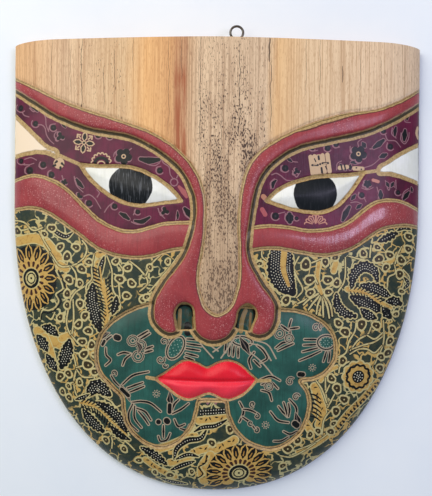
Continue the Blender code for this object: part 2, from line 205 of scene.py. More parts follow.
def spline(points, steps=10):
    """Smooth curve through the points: Hermite pieces whose slopes lean to the nearer neighbour."""
    p = np.array(points, float)
    p = np.vstack([2 * p[0] - p[1], p, 2 * p[-1] - p[-2]])
    t = np.linspace(0, 1, steps, endpoint=False)[:, None]
    pieces = []
    for a, b, c, d in zip(p[:-3], p[1:-2], p[2:-1], p[3:]):
        before, here, after = np.linalg.norm(b - a), np.linalg.norm(c - b), np.linalg.norm(d - c)
        start = here * ((b - a) / before * here + (c - b) / here * before) / (before + here)
        end = here * ((c - b) / here * after + (d - c) / after * here) / (here + after)
        pieces.append((2 * t**3 - 3 * t**2 + 1) * b + (t**3 - 2 * t**2 + t) * start
                      + (3 * t**2 - 2 * t**3) * c + (t**3 - t**2) * end)
    return np.vstack(pieces + [p[-2:-1]])


def on_board(points):
    """Points of the drawing, stretched to the board's own width and height."""
    return points * [2 * HALF / DRAWN_WIDTH, HEIGHT / DRAWN_HEIGHT] + [0, CHIN]


def drawn(points):
    """A smooth curve of the drawing, laid on the board."""
    return on_board(spline(points))


def sides(count=96):
    """The board's edge from top right round the chin to top left: a superellipse under uprights."""
    angle = np.linspace(0, math.pi, count + 1)
    cos, sin = np.cos(angle), np.sin(angle)
    arc = np.c_[HALF * np.sign(cos) * np.abs(cos) ** (2 / FULLNESS),
                CHIN + SHOULDER - SHOULDER * sin ** (2 / FULLNESS)]
    return np.vstack([[HALF, TOP], arc, [-HALF, TOP]])


def nearest(points, line, reach=None):
    """Distance from each point to an open line and the nearest point on it, exact within a reach."""
    distance = np.full(len(points), 1.0 if reach is None else reach)
    foot = points.copy()
    near = np.ones(len(points), bool)
    if reach is not None:
        near = ((points > line.min(0) - reach) & (points < line.max(0) + reach)).all(1)
    some = points[near]
    best = np.full(len(some), np.inf)
    best_foot = some.copy()
    for a, b in zip(line[:-1], line[1:]):
        along = b - a
        share = np.clip(((some - a) @ along) / max(along @ along, 1e-18), 0, 1)
        on_line = a + share[:, None] * along
        off = ((some - on_line) ** 2).sum(1)
        closer = off < best
        best[closer] = off[closer]
        best_foot[closer] = on_line[closer]
    distance[near] = np.sqrt(best)
    foot[near] = best_foot
    return distance, foot


def depth_inside(points, loop, reach=0.02):
    """Distance to a closed loop, positive inside it and negative outside, capped at the reach."""
    line = np.vstack([loop, loop[:1]])
    inside = np.zeros(len(points), bool)
    x, y = points.T
    for (ax, ay), (bx, by) in zip(line[:-1], line[1:]):
        if ay == by:
            continue
        straddles = (ay > y) != (by > y)
        inside ^= straddles & (ax + (y - ay) / (by - ay) * (bx - ax) > x)
    distance = np.minimum(nearest(points, line, reach)[0], reach)
    return np.where(inside, distance, -distance)


def carved_fields():
    """Closed outlines of the carved fields."""
    above = np.array([(2 * HALF, 2 * TOP), (-2 * HALF, 2 * TOP)])
    nose = [drawn(c) for c in (NOSE_LEFT, NOSTRIL_LEFT, NOSE_TIP, NOSTRIL_RIGHT, NOSE_RIGHT)]
    cheek_top = [drawn(LEFT_CHEEK_TOP), drawn(RIGHT_CHEEK_TOP)]
    cheek_low = [drawn(RIGHT_CHEEK_LOW)[::-1], drawn(LEFT_CHEEK_LOW)[::-1]]
    return {
        "forehead": np.vstack([drawn(BROW_AND_BRIDGE), above]),
        "front": np.vstack(nose + [above]),
        "lids": np.vstack(cheek_top + [above]),
        "cheek_band": np.vstack(cheek_top + cheek_low),
        "left_eye": np.vstack([drawn(LEFT_EYE_TOP), drawn(LEFT_EYE_LOW)]),
        "right_eye": np.vstack([drawn(RIGHT_EYE_TOP), drawn(RIGHT_EYE_LOW)]),
        "muzzle": np.vstack([drawn(MUZZLE_LEFT), drawn(MUZZLE_RIGHT)]),
        "lips": np.vstack([drawn(LIP_TOP), drawn(LIP_LOW)]),
        "left_nostril": drawn(NOSTRIL_LEFT),
        "right_nostril": drawn(NOSTRIL_RIGHT),
        "left_temple": drawn(LEFT_TEMPLE),
        "right_temple": drawn(RIGHT_TEMPLE),
    }


def groove(points, curves):
    """Depth of the cut line that runs along each of the curves, between two fields."""
    away = np.min([nearest(points, drawn(curve), 0.004)[0] for curve in curves], axis=0)
    return GROOVE * np.clip(1 - away / CUT, 0, 1)


def rounding(distance):
    """Share of its full height that the face has at a distance from its edge."""
    return (1 - (1 - np.clip(distance / ROUNDING, 0, 1)) ** 2) ** 0.6


def pillow(inside, width, rise):
    """A cushion that rises from a field's edge to its full height, a width further in."""
    return rise * (1 - (1 - np.clip(inside / width, 0, 1)) ** 2)


def lay(ground, inside, level):
    """The ground with a field laid on it, the step between them as wide as a cut line."""
    share = np.clip(inside / CUT * 0.5 + 0.5, 0, 1)
    return ground + (level - ground) * share * share * (3 - 2 * share)


def relief(points, inside):
    """Height of the carving above the crown, field upon field, with a cut line round each."""
    front_edge = inside["front"]
    band = np.minimum(front_edge, -inside["forehead"])
    level = np.full(len(points), -CHEEK_DROP)
    level = lay(level, inside["lids"], -LID_DROP)
    level = lay(level, inside["cheek_band"],
                pillow(inside["cheek_band"], 0.008, CHEEK_BAND_ROLL) - CHEEK_BAND_DROP)
    for eye in ("left_eye", "right_eye"):
        level = lay(level, inside[eye], pillow(inside[eye], 0.014, EYE_BULGE) - EYE_DROP)
    level = lay(level, inside["muzzle"],
                pillow(inside["muzzle"], 0.012, MUZZLE_PILLOW) - MUZZLE_DROP)
    level = lay(level, inside["lips"], pillow(inside["lips"], 0.008, LIP_RISE) - MUZZLE_DROP)
    for nostril in ("left_nostril", "right_nostril"):
        level = level - pillow(inside[nostril], 0.005, NOSTRIL_DROP)
    level = level - groove(points, LOW_CURVES)
    level = lay(level, front_edge, pillow(band, 0.007, BAND_ROLL) - BAND_DROP)
    level = lay(level, inside["forehead"], 0.0) - groove(points, HIGH_CURVES)
    mouth = nearest(points, drawn(MOUTH), 0.006)[0]
    return level - MOUTH_CREASE * np.clip(1 - mouth / 0.003, 0, 1) ** 1.3 * (inside["lips"] > 0)


def front_height(points, inside):
    """Height of the carved face: a crown that falls to the sides and chin, plus its relief."""
    across = np.abs(points[:, 0]) / HALF
    down = np.clip(1 - (points[:, 1] - CHIN) / SHOULDER, 0, 1)
    crown = THICKNESS - SIDE_FALL * across**1.5 - CHIN_FALL * down**2
    edge = nearest(points, sides())[0]
    return EDGE + (crown + relief(points, inside) - EDGE) * rounding(edge)


def half_width(y):
    """Half the board's width at a height: the superellipse below the shoulder, full above it."""
    below = np.clip((CHIN + SHOULDER - y) / SHOULDER, 0, 1)
    return HALF * (1 - below**FULLNESS) ** (1 / FULLNESS)


def front_grid():
    """Rows from chin to top, each stretched to the board's width there, as flat points.

    Row heights grow as a hyperbola, so the lowest rows are close enough to follow the chin, and the
    columns crowd together towards both sides. A point that is nearly on a cut line is moved onto it.
    """
    t = np.linspace(0.4 / ROWS, 1, ROWS + 1)
    rise = (np.sqrt(t**2 + FIRST_ROW**2) - FIRST_ROW) / (math.sqrt(1 + FIRST_ROW**2) - FIRST_ROW)
    y = CHIN + HEIGHT * rise
    centre = np.abs(np.linspace(-1, 1, COLUMNS))
    step = 1 - EDGE_CROWDING * np.clip((centre - 0.9) / 0.1, 0, 1)
    s = np.concatenate([[0], np.cumsum(step)])
    s = 2 * s / s[-1] - 1
    flat = np.stack([s[None, :] * half_width(y)[:, None], np.repeat(y[:, None], COLUMNS + 1, 1)], 2)
    inner = flat[1:-1, 1:-1].reshape(-1, 2)
    pitch = np.minimum(np.abs(flat[1:-1, 2:, 0] - flat[1:-1, 1:-1, 0]),
                       flat[2:, 1:-1, 1] - flat[1:-1, 1:-1, 1]).ravel()
    best = np.full(len(inner), np.inf)
    moved = inner.copy()
    for curve in HIGH_CURVES + LOW_CURVES:
        distance, foot = nearest(inner, drawn(curve), 0.003)
        closer = (distance < best) & (distance < 0.46 * pitch)
        best[closer] = distance[closer]
        moved[closer] = foot[closer]
    flat[1:-1, 1:-1] = moved.reshape(flat[1:-1, 1:-1].shape)
    return flat


def inset(points, distance):
    """Points of the board's outline, moved inwards square to it."""
    x, y = points.T
    straight = CHIN + SHOULDER
    shrink = (HALF - distance) / HALF
    upright = (TOP - distance - straight) / (TOP - straight)
    upper = np.c_[x * shrink, straight + (y - straight) * upright]
    below = np.clip((straight - y) / SHOULDER, 0, 1)
    normal = np.c_[np.sign(x) * np.abs(x / HALF) ** (FULLNESS - 1) / HALF,
                   -below ** (FULLNESS - 1) / SHOULDER]
    normal /= np.maximum(np.linalg.norm(normal, axis=1), 1e-9)[:, None]
    return np.where((y >= straight)[:, None], upper, points - distance * normal)


def ring_profile():
    """Rings that close the board behind its face, as (inset, share of the edge's height, height)."""
    wall = [(0.0, 0.75, 0.0), (0.0, 0.5, 0.0), (0.0, 0.25, 0.0), (0.0005, 0.0, 0.0)]
    rim = [(0.006, 0.0, 0.0), (0.012, 0.0, 0.0), (RIM, 0.0, 0.0)]
    hollow = [(RIM + SLOPE * s, 0.0, HOLLOW * math.sin(s * math.pi / 2))
              for s in (0.05, 0.14, 0.27, 0.42, 0.6, 0.8, 1.0)]
    return wall + rim + hollow


FLOOR_SHARES = (0.82, 0.62, 0.4, 0.16)
CREASED_RINGS = (0, 4, 7)  # the front's edge, and the rim's outer and inner edge


def board_mesh():
    """The whole board as one closed mesh of triangles, with the place of every part of it.

    A point of the front lies over its place in the grid at the height of the carving there. Each
    ring behind it is the outline moved inwards, down the edge, along the flat rim and then up a
    quarter of a sine wave into the hollow, whose floor is flat.
    """
    flat = front_grid()
    rows, columns = flat.shape[0], flat.shape[1]
    points = flat.reshape(-1, 2)
    inside = {name: depth_inside(points, loop) for name, loop in carved_fields().items()}
    height = front_height(points, inside)
    number = np.arange(rows * columns).reshape(rows, columns)
    a, b = number[:-1, :-1].ravel(), number[:-1, 1:].ravel()
    d, c = number[1:, :-1].ravel(), number[1:, 1:].ravel()
    rising = np.abs(height[a] - height[c]) <= np.abs(height[b] - height[d])
    first = np.where(rising[:, None], np.c_[a, b, c], np.c_[a, b, d])
    second = np.where(rising[:, None], np.c_[a, c, d], np.c_[b, c, d])
    front = np.stack([first, second], 1).reshape(-1, 3)

    loop = np.concatenate([number[0, :], number[1:, -1], number[-1, -2::-1], number[-2:0:-1, 0]])
    outline, edge_height = points[loop], height[loop]
    rings, faces, before = [], [], loop
    total = len(points)
    for distance, share, level in ring_profile():
        ring = inset(outline, distance)
        rings.append(np.c_[ring, edge_height * share + level])
    middle = np.array([0.0, CHIN + HEIGHT * 0.52])
    for share in FLOOR_SHARES:
        rings.append(np.c_[middle + (rings[len(ring_profile()) - 1][:, :2] - middle) * share,
                           np.full(len(loop), HOLLOW)])
    for ring in rings:
        here = total + np.arange(len(loop))
        total += len(loop)
        faces.append(np.c_[before, here, np.roll(here, -1)])
        faces.append(np.c_[before, np.roll(here, -1), np.roll(before, -1)])
        before = here
    faces.append(np.c_[before, np.full(len(loop), total), np.roll(before, -1)])
    vertices = np.vstack([np.c_[points, height]] + rings + [[*middle, HOLLOW]])
    return {
        "vertices": vertices, "front": front, "rest": np.vstack(faces), "loop": loop,
        "front_points": len(points), "inside": inside, "ring_size": len(loop),
    }


def mesh_from(name, vertices, faces):
    """A mesh object at the origin from arrays of vertices and triangles."""
    mesh = bpy.data.meshes.new(name)
    mesh.vertices.add(len(vertices))
    mesh.vertices.foreach_set("co", vertices.astype(np.float32).ravel())
    mesh.loops.add(3 * len(faces))
    mesh.loops.foreach_set("vertex_index", faces.astype(np.int32).ravel())
    mesh.polygons.add(len(faces))
    mesh.polygons.foreach_set("loop_start", np.arange(0, 3 * len(faces), 3, dtype=np.int32))
    mesh.update(calc_edges=True)
    mesh.validate()
    made = bpy.data.objects.new(name, mesh)
    bpy.context.collection.objects.link(made)
    return made


def make_board():
    """The board's object, with its creases marked and its front set apart from the rest by material index.
    """
    board = board_mesh()
    faces = np.vstack([board["front"], board["rest"]])
    made = mesh_from("carved_mask", board["vertices"], faces)
    mesh = made.data
    made.data.shade_smooth()
    ring_of = np.full(len(board["vertices"]), -1)
    ring_of[board["loop"]] = 0
    start = board["front_points"]
    for number in range(len(ring_profile()) + len(FLOOR_SHARES)):
        ring_of[start:start + board["ring_size"]] = number + 1
        start += board["ring_size"]
    ends = np.empty(2 * len(mesh.edges), np.int32)
    mesh.edges.foreach_get("vertices", ends)
    ends = ring_of[ends.reshape(-1, 2)]
    creased = (ends[:, 0] == ends[:, 1]) & np.isin(ends[:, 0], CREASED_RINGS)
    mesh.attributes.new("sharp_edge", "BOOLEAN", "EDGE").data.foreach_set("value", creased)
    material_of = np.zeros(len(faces), np.int32)
    material_of[len(board["front"]):] = 1
    mesh.polygons.foreach_set("material_index", material_of)
    return made, board


def field_values(vertices):
    """For every vertex, how deep it lies in each painted field, in mm."""
    flat = vertices[:, :2]
    depth = {name: depth_inside(flat, loop) / MM for name, loop in carved_fields().items()}
    depth["eyes"] = np.maximum(depth["left_eye"], depth["right_eye"])
    depth["temples"] = np.maximum(depth["left_temple"], depth["right_temple"])
    depth["nostrils"] = np.maximum(depth["left_nostril"], depth["right_nostril"])
    upper = np.vstack([drawn(LIP_TOP), drawn(MOUTH)[::-1]])
    depth["upper_lip"] = depth_inside(flat, upper) / MM
    tails = [nearest(flat, drawn(tail), 0.02)[0]
             for tail in (LEFT_EYE_TAIL, RIGHT_EYE_TAIL, LEFT_LIP_TAIL, RIGHT_LIP_TAIL)]
    depth["tails"] = np.min(tails, axis=0) / MM
    depth["edge"] = nearest(flat, sides())[0] / MM
    return depth


FIELD_PACKS = {
    "fields_a": ("forehead", "front", "lids", "cheek_band"),
    "fields_b": ("eyes", "muzzle", "lips", "temples"),
    "fields_c": ("nostrils", "upper_lip", "edge", "tails"),
}


def keep_fields(made, depth):
    """Store the fields, four to a point attribute, where the shader reads them."""
    for pack, names in FIELD_PACKS.items():
        values = np.stack([depth[name] for name in names], 1).astype(np.float32)
        made.data.attributes.new(pack, "FLOAT_COLOR", "POINT").data.foreach_set("color", values.ravel())


class Painting:
    """The strokes of the drawing, in the order in which they are laid on.

    They are given in the drawing's pixels. Each is cut into short pieces with a half width at either
    end, and a piece is kept only where it lies in the field that is being painted.
    """

    def __init__(self):
        self.pieces = []
        self.field = "batik"

    def stroke(self, points, colour, width, smooth=True):
        """A stroke through points. Its width is one number, or several spread evenly along it."""
        points = np.array(points, float)
        if smooth and len(points) > 2:
            points = spline(points, 5)
        run = np.concatenate([[0], np.cumsum(np.linalg.norm(np.diff(points, axis=0), axis=1))])
        share = run / max(run[-1], 1e-9)
        width = np.atleast_1d(np.array(width, float))
        stops = np.linspace(0, 1, max(len(width), 2))
        width = np.broadcast_to(width, len(stops))
        at_stops = [int(np.abs(share - stop).argmin()) for stop in stops[1:-1]]
        kept = np.union1d(fewest(points, STRAYING), at_stops)
        if len(points) == 2 and len(stops) > 2:
            points = points[0] + (points[1] - points[0]) * stops[:, None]
            share, kept = stops, np.arange(len(stops))
        kept = kept.astype(int)
        half = np.interp(share[kept], stops, width) * PIXEL / MM / 2
        place = read(points[kept], SUNK)
        number = FIELDS.index(self.field)
        self.pieces.append(np.c_[place[:-1], place[1:], half[:-1], half[1:],
                                 np.tile([*colour[:3], number], (len(place) - 1, 1))])

    def dots(self, places, colour, size):
        """Round dots, each as wide as size says."""
        places = read(np.array(places, float).reshape(-1, 2), SUNK)
        half = np.full(len(places), size * PIXEL / MM / 2)
        self.pieces.append(np.c_[places, places, half, half,
                                 np.tile([*colour[:3], FIELDS.index(self.field)], (len(places), 1))])

    def ring(self, x, y, radius, colour, width, flat=1.0, turn=0.0):
        """A ring, or an oval one turned by an angle."""
        count = max(int(radius * 2.2), 8)
        self.stroke(oval(x, y, radius, radius * flat, turn, count), colour, width, False)

    def rows(self):
        return np.vstack(self.pieces)


FIELDS = ("batik", "purple", "teal", "nostril")
NEARBY = 0.00032  # a stroke this close to a triangle's corners, edges and middle may cross it
HIDING = 0.00015  # a stroke hides what lies under it where it reaches this far beyond a triangle
STRAYING = 0.13  # pixels by which a stroke's straight pieces may stray from its curve
SEARCH_MARGIN, SEARCH_CELL = 0.0004, 0.0025  # for the first, rough search for strokes near a triangle
SLOTS = 8  # strokes that may cross one triangle, the uppermost of them all
NO_STROKE = -9.0  # a half width in mm that covers nothing


def fewest(points, tolerance, first=0, last=None):
    """The numbers of the fewest points whose straight pieces stay within the tolerance of the rest."""
    last = len(points) - 1 if last is None else last
    if last - first < 2:
        return np.array([first, last])
    along = points[last] - points[first]
    length = np.linalg.norm(along)
    off = points[first:last + 1] - points[first]
    away = np.abs(off[:, 0] * along[1] - off[:, 1] * along[0]) / length if length > 0.5 \
        else np.linalg.norm(off, axis=1)
    far = int(away.argmax())
    if away[far] <= tolerance:
        return np.array([first, last])
    far += first
    return np.concatenate([fewest(points, tolerance, first, far)[:-1],
                           fewest(points, tolerance, far, last)])


def turned(x, y, u, v, turn):
    """The places u along and v across from a middle, after a turn."""
    return x + u * math.cos(turn) - v * math.sin(turn), y + u * math.sin(turn) + v * math.cos(turn)


def oval(x, y, wide, high, turn=0.0, count=16, start=0.0, end=FULL_TURN):
    """Points round an oval, or along a part of one."""
    angle = np.linspace(start, end, count + 1)
    return np.c_[turned(x, y, wide * np.cos(angle), high * np.sin(angle), turn)]


def field_of(places, loops):
    """Which painted field each place lies in, as a number in FIELDS, or -1 outside them all."""
    inside = {name: depth_inside(places, loops[name], 0.004) for name in loops}
    eyes = np.maximum(inside["left_eye"], inside["right_eye"])
    temples = np.maximum(inside["left_temple"], inside["right_temple"])
    nostrils = np.maximum(inside["left_nostril"], inside["right_nostril"]) > 0
    behind = (inside["front"] < 0.0006) & ~nostrils
    lids = (inside["lids"] > 0) & (eyes < 0) & (temples < 0) & behind
    teal = (inside["muzzle"] > 0) & (inside["lips"] < 0) & behind
    batik = (inside["lids"] < 0) & (inside["cheek_band"] < 0) & (inside["muzzle"] < 0) & behind
    return np.select([nostrils, teal, lids, batik], [3, 2, 1, 0], -1)


def nearby_pairs(low, high, middle, cell):
    """Pairs of a box and a point that share a cell of a square lattice laid over them all."""
    origin = middle.min(0) - cell
    wide, tall = ((middle.max(0) - origin) / cell).astype(int) + 2
    at = ((middle - origin) / cell).astype(int)
    key = at[:, 1] * wide + at[:, 0]
    order = np.argsort(key, kind="stable")
    count = np.bincount(key, minlength=wide * tall)
    start = np.concatenate([[0], np.cumsum(count)[:-1]])
    first = np.clip(((low - origin) / cell).astype(int), 0, [wide - 1, tall - 1])
    last = np.clip(((high - origin) / cell).astype(int), 0, [wide - 1, tall - 1])
    boxes, points = [], []
    span = (last - first).max(0)
    for up in range(span[1] + 1):
        for across in range(span[0] + 1):
            there = first + [across, up]
            some = np.nonzero((there <= last).all(1))[0]
            cells = there[some, 1] * wide + there[some, 0]
            many = count[cells]
            box = np.repeat(some, many)
            offset = np.arange(many.sum()) - np.repeat(np.cumsum(many) - many, many)
            boxes.append(box)
            points.append(order[np.repeat(start[cells], many) + offset])
    return np.concatenate(boxes), np.concatenate(points)


def keep_strokes(made, board, painting):
    """Give each triangle of the front the strokes that cross it, the uppermost last.

    A stroke is kept as its own coordinates at the triangle's corners: the way along it and the way
    across it in mm, with its half widths beside them, and its ink and length on the face.
    """
    rows = painting.rows()
    start, end = on_board(rows[:, 0:2]), on_board(rows[:, 2:4])
    found = field_of((start + end) / 2, carved_fields())
    rows, start, end = [part[found == rows[:, 9]] for part in (rows, start, end)]
    half = np.maximum(rows[:, 4], rows[:, 5]) * MM
    front = board["front"]
    corners = board["vertices"][front][:, :, :2]
    middle = corners.mean(1)
    reach = half + SEARCH_MARGIN
    size = np.linalg.norm(corners - middle[:, None], axis=2).max()
    low = np.minimum(start, end) - reach[:, None] - size
    high = np.maximum(start, end) + reach[:, None] + size
    stroke, face = nearby_pairs(low, high, middle, SEARCH_CELL)
    along = end - start
    length = np.linalg.norm(along, axis=1)
    run = along / np.maximum(length, 1e-9)[:, None]
    run[length < 1e-7] = [1, 0]
    samples = np.concatenate([corners, (corners + np.roll(corners, -1, 1)) / 2, middle[:, None]], 1)
    off = samples[face] - start[stroke][:, None]
    u = (off * run[stroke][:, None]).sum(2)
    v = off[..., 1] * run[stroke][:, None, 0] - off[..., 0] * run[stroke][:, None, 1]
    on_spine = np.clip(u, 0, length[stroke][:, None])
    share = on_spine / np.maximum(length[stroke], 1e-9)[:, None]
    wide = rows[stroke, 4][:, None] * (1 - share) + rows[stroke, 5][:, None] * share
    outside = np.sqrt((u - on_spine) ** 2 + v**2) - wide * MM
    near = outside.min(1) < NEARBY
    covers = outside[near].max(1) < -HIDING
    stroke, face, u, v = stroke[near], face[near], u[near, :3], v[near, :3]

    order = np.lexsort((stroke, face))
    stroke, face, u, v, covers = [part[order] for part in (stroke, face, u, v, covers)]
    uppermost = np.full(len(front), -1)
    np.maximum.at(uppermost, face[covers], stroke[covers])
    seen = stroke >= uppermost[face]
    stroke, face, u, v = stroke[seen], face[seen], u[seen], v[seen]
    many = np.bincount(face, minlength=len(front))
    last = np.cumsum(many)
    from_top = last[face] - 1 - np.arange(len(face))
    kept = from_top < SLOTS
    slot = np.minimum(many[face], SLOTS) - 1 - from_top
    mesh = made.data
    for number in range(SLOTS):
        place = np.zeros((len(mesh.polygons), 3, 4), np.float32)
        place[..., 2:] = NO_STROKE
        paint = np.zeros((len(mesh.polygons), 4), np.float32)
        paint[:, 3] = 1.0
        here = kept & (slot == number)
        on = face[here]
        place[on, :, 0], place[on, :, 1] = u[here] / MM, v[here] / MM
        place[on, :, 2:] = rows[stroke[here], 4:6][:, None]
        paint[on, :3] = rows[stroke[here], 6:9]
        paint[on, 3] = np.maximum(length[stroke[here]] / MM, 0.001)
        for name, domain, values in ((f"place_{number}", "CORNER", place), (f"ink_{number}", "FACE", paint)):
            mesh.attributes.new(name, "FLOAT_COLOR", domain).data.foreach_set("color", values.ravel())


class Graph:
    """Adds nodes to a node tree and joins them up, so that a formula reads as one."""

    def __init__(self, tree):
        self.tree = tree

    def plug(self, socket, value):
        if isinstance(value, bpy.types.NodeSocket):
            self.tree.links.new(value, socket)
        elif value is not None:
            socket.default_value = value

    def node(self, kind, inputs=None, **settings):
        made = self.tree.nodes.new(kind)
        for name, value in settings.items():
            setattr(made, name, value)
        for name, value in (inputs or {}).items():
            self.plug(made.inputs[name], value)
        return made

    def math(self, operation, a, b=None, c=None, clamp=False):
        made = self.node("ShaderNodeMath", {0: a, 1: b, 2: c}, operation=operation, use_clamp=clamp)
        return made.outputs[0]

    def times(self, product, *others):
        for other in others:
            product = self.math("MULTIPLY", product, other)
        return product

    def mix(self, share, a, b):
        made = self.node("ShaderNodeMix", data_type="RGBA")
        self.plug(made.inputs[0], share)
        self.plug(made.inputs[6], a)
        self.plug(made.inputs[7], b)
        return made.outputs[2]

    def step(self, value, low, high, start=0.0, end=1.0):
        """A smooth step of the value from low to high."""
        made = self.node("ShaderNodeMapRange", {"Value": value, "From Min": low, "From Max": high,
                                                "To Min": start, "To Max": end},
                         interpolation_type="SMOOTHSTEP")
        return made.outputs[0]

    def noise(self, place, scale, detail=2.0, roughness=0.5, distortion=0.0):
        made = self.node("ShaderNodeTexNoise", {"Vector": place, "Scale": scale, "Detail": detail,
                                                "Roughness": roughness, "Distortion": distortion})
        return made.outputs["Fac"]

    def between(self, value, low, high, soft=0.16):
        """A mask of a value that lies between two others."""
        rising = self.step(value, low - soft, low + soft)
        return self.times(rising, self.step(value, high - soft, high + soft, 1.0, 0.0))

    def stretched(self, where, scale):
        return self.node("ShaderNodeMapping", {"Vector": where, "Scale": scale}).outputs[0]

    def place(self, scale=(1, 1, 1)):
        """Object coordinates, stretched by a scale."""
        return self.stretched(self.node("ShaderNodeTexCoord").outputs["Object"], scale)

    def split(self, vector):
        return self.node("ShaderNodeSeparateXYZ", {0: vector}).outputs

    def fields(self, pack):
        """The four fields of a pack, in mm."""
        kept = self.node("ShaderNodeAttribute", attribute_name=pack)
        return [*self.split(kept.outputs["Vector"]), kept.outputs["Alpha"]]


def ink(red, green, blue):
    """A colour as a painter names it on a screen, turned into light."""
    values = np.array([red, green, blue]) / 255
    light = np.where(values <= 0.04045, values / 12.92, ((values + 0.055) / 1.055) ** 2.4)
    return (*light.tolist(), 1.0)


# Inks of the drawing
CREAM = ink(206, 190, 132)
GOLD = ink(204, 164, 88)
OCHRE = ink(186, 138, 66)
BLACK = ink(13, 11, 10)
BEAD_BROWN = ink(62, 50, 26)
DOT_WHITE = ink(222, 216, 190)
BEIGE = ink(178, 158, 132)
DEEP_TEAL = ink(16, 32, 30)
LILAC = ink(152, 106, 112)
BUFF = ink(206, 172, 134)
WORN_PINK = ink(198, 138, 116)
PURPLE = ink(106, 20, 56)
# Gold darkened with painted shade, for the stripes inside the nostrils
SHADED_GOLD, DEEP_SHADED_GOLD = ink(148, 124, 78), ink(120, 94, 56)


def heading(angle):
    """The arrow, one pixel long, that points along an angle."""
    return np.array([math.cos(angle), math.sin(angle)])


def around(x, y, angle, reach):
    """Points round a middle, each at its own angle and reach."""
    return np.c_[x + reach * np.cos(angle), y + reach * np.sin(angle)]


def ringed_dot(p, x, y, radius):
    """A dark bead in a pale ring, with a pale dot at its middle."""
    angle = np.linspace(0, FULL_TURN, 9)
    reach = radius * (1 + 0.13 * np.sin(2 * angle + x) + 0.08 * np.sin(3 * angle + y))
    p.dots([(x, y)], BEAD_BROWN, 2 * radius)
    p.stroke(around(x, y, angle, reach), CREAM, (1.4, 2.1, 1.5, 1.9, 1.4))
    p.dots([(x + 0.4 * math.sin(y), y + 0.4 * math.sin(x))], CREAM, max(radius * 0.36, 1.0))


def even_points(points, gap):
    """Points a gap apart along a smooth curve through the given points."""
    curve = spline(points, 8)
    run = np.concatenate([[0], np.cumsum(np.linalg.norm(np.diff(curve, axis=0), axis=1))])
    at = np.arange(gap / 2, run[-1], gap)
    return np.c_[np.interp(at, run, curve[:, 0]), np.interp(at, run, curve[:, 1])]


def square_to(points):
    """Unit arrows across a row of points, a quarter turn from its run."""
    run = np.gradient(points, axis=0)
    run /= np.maximum(np.linalg.norm(run, axis=1), 1e-9)[:, None]
    return np.c_[-run[:, 1], run[:, 0]]


LEAF_TAPER = np.array([0.35, 0.85, 1.0, 1.0, 0.8, 0.3])  # a leaf's width along it, as shares
LOBED_FROM = 5.6  # pixels of width from which a leaf has a lobed edge
LEAF_DOT_GAP, LEAF_ROW_GAP = 2.6, 2.3


def leaf_half(count, width):
    """Half a leaf's width at so many points along it."""
    share = np.linspace(0, 1, count)
    return np.interp(share, np.linspace(0, 1, len(LEAF_TAPER)), LEAF_TAPER) * width / 2


def dotted_leaf(p, points, width):
    """A dark leaf with a pale outline, filled with rows of pale dots."""
    lobes = []
    if width > LOBED_FROM:
        spine = even_points(points, 4.4)
        wide = leaf_half(len(spine), width) - 0.6
        for side in (-1, 1):
            lobes += list(spine + square_to(spine) * (side * wide)[:, None])
    p.stroke(points, CREAM, LEAF_TAPER * width + 2.4)
    p.dots(lobes, CREAM, 6.0)
    p.stroke(points, BLACK, LEAF_TAPER * width)
    p.dots(lobes, BLACK, 3.6)
    middle = even_points(points, LEAF_DOT_GAP)
    if len(middle) < 3:
        return
    across = square_to(middle)
    half = leaf_half(len(middle), width) - 1.3
    for row in range(-4, 5):
        offset = row * LEAF_ROW_GAP
        shifted = middle + across * offset + (np.roll(middle, -1, 0) - middle) * (0.5 * (row % 2))
        keep = np.abs(offset) < half
        keep[-1] = False
        if keep.any():
            p.dots(shifted[keep], DOT_WHITE, 1.0)


def rosette(p, x, y, squash, turn, sector, petals):
    """A big daisy: a coiled disc, a row of dark dashes, then veined petals, seen a little aslant."""
    def at(angle, radius):
        return turned(x, y, radius * math.cos(angle), radius * math.sin(angle) * squash, turn)

    for radius, colour, width in ((24, BLACK, 18), (14, GOLD, 15)):
        p.stroke([at(angle, radius) for angle in np.linspace(*sector, 12)], colour, width)
    p.dots([(x, y)], CREAM, 22)
    coil = [at(angle, 9.5 - angle * 0.16) for angle in np.linspace(0, 4 * FULL_TURN, 60)[:30]]
    p.stroke(coil, BLACK, 1.5, False)
    p.ring(x, y, 9.3, BLACK, 1.6, squash, turn)
    p.ring(x, y, 5.2, BLACK, 1.3, squash, turn)
    p.dots([(x, y)], BLACK, 2.4)
    for angle in np.linspace(*sector, petals):
        p.stroke([at(angle, 12.6), at(angle, 15.8)], ink(66, 34, 24), (2.2, 3.2))
    for angle in np.linspace(*sector, petals) + 0.1:
        petal = [at(angle, radius) for radius in (19, 26, 33)]
        p.stroke(petal, GOLD, (4.2, 9.0, 8.6, 3.2))
        p.stroke(petal, BLACK, (1.6, 5.8, 5.2, 1.2))
        p.stroke([at(angle, 22), at(angle, 27)], OCHRE, (1.4, 0.8))


def scallops(p, x, y, radius, lobes, depth, colour, width, start=0.0, end=FULL_TURN):
    """A wavy ring: its radius swells and shrinks once for each lobe."""
    angle = np.linspace(start, end, max(int(lobes * 7 * (end - start) / 6.28), 8))
    reach = radius + depth * np.abs(np.sin(angle * lobes / 2))
    p.stroke(around(x, y, angle, reach), colour, width, False)


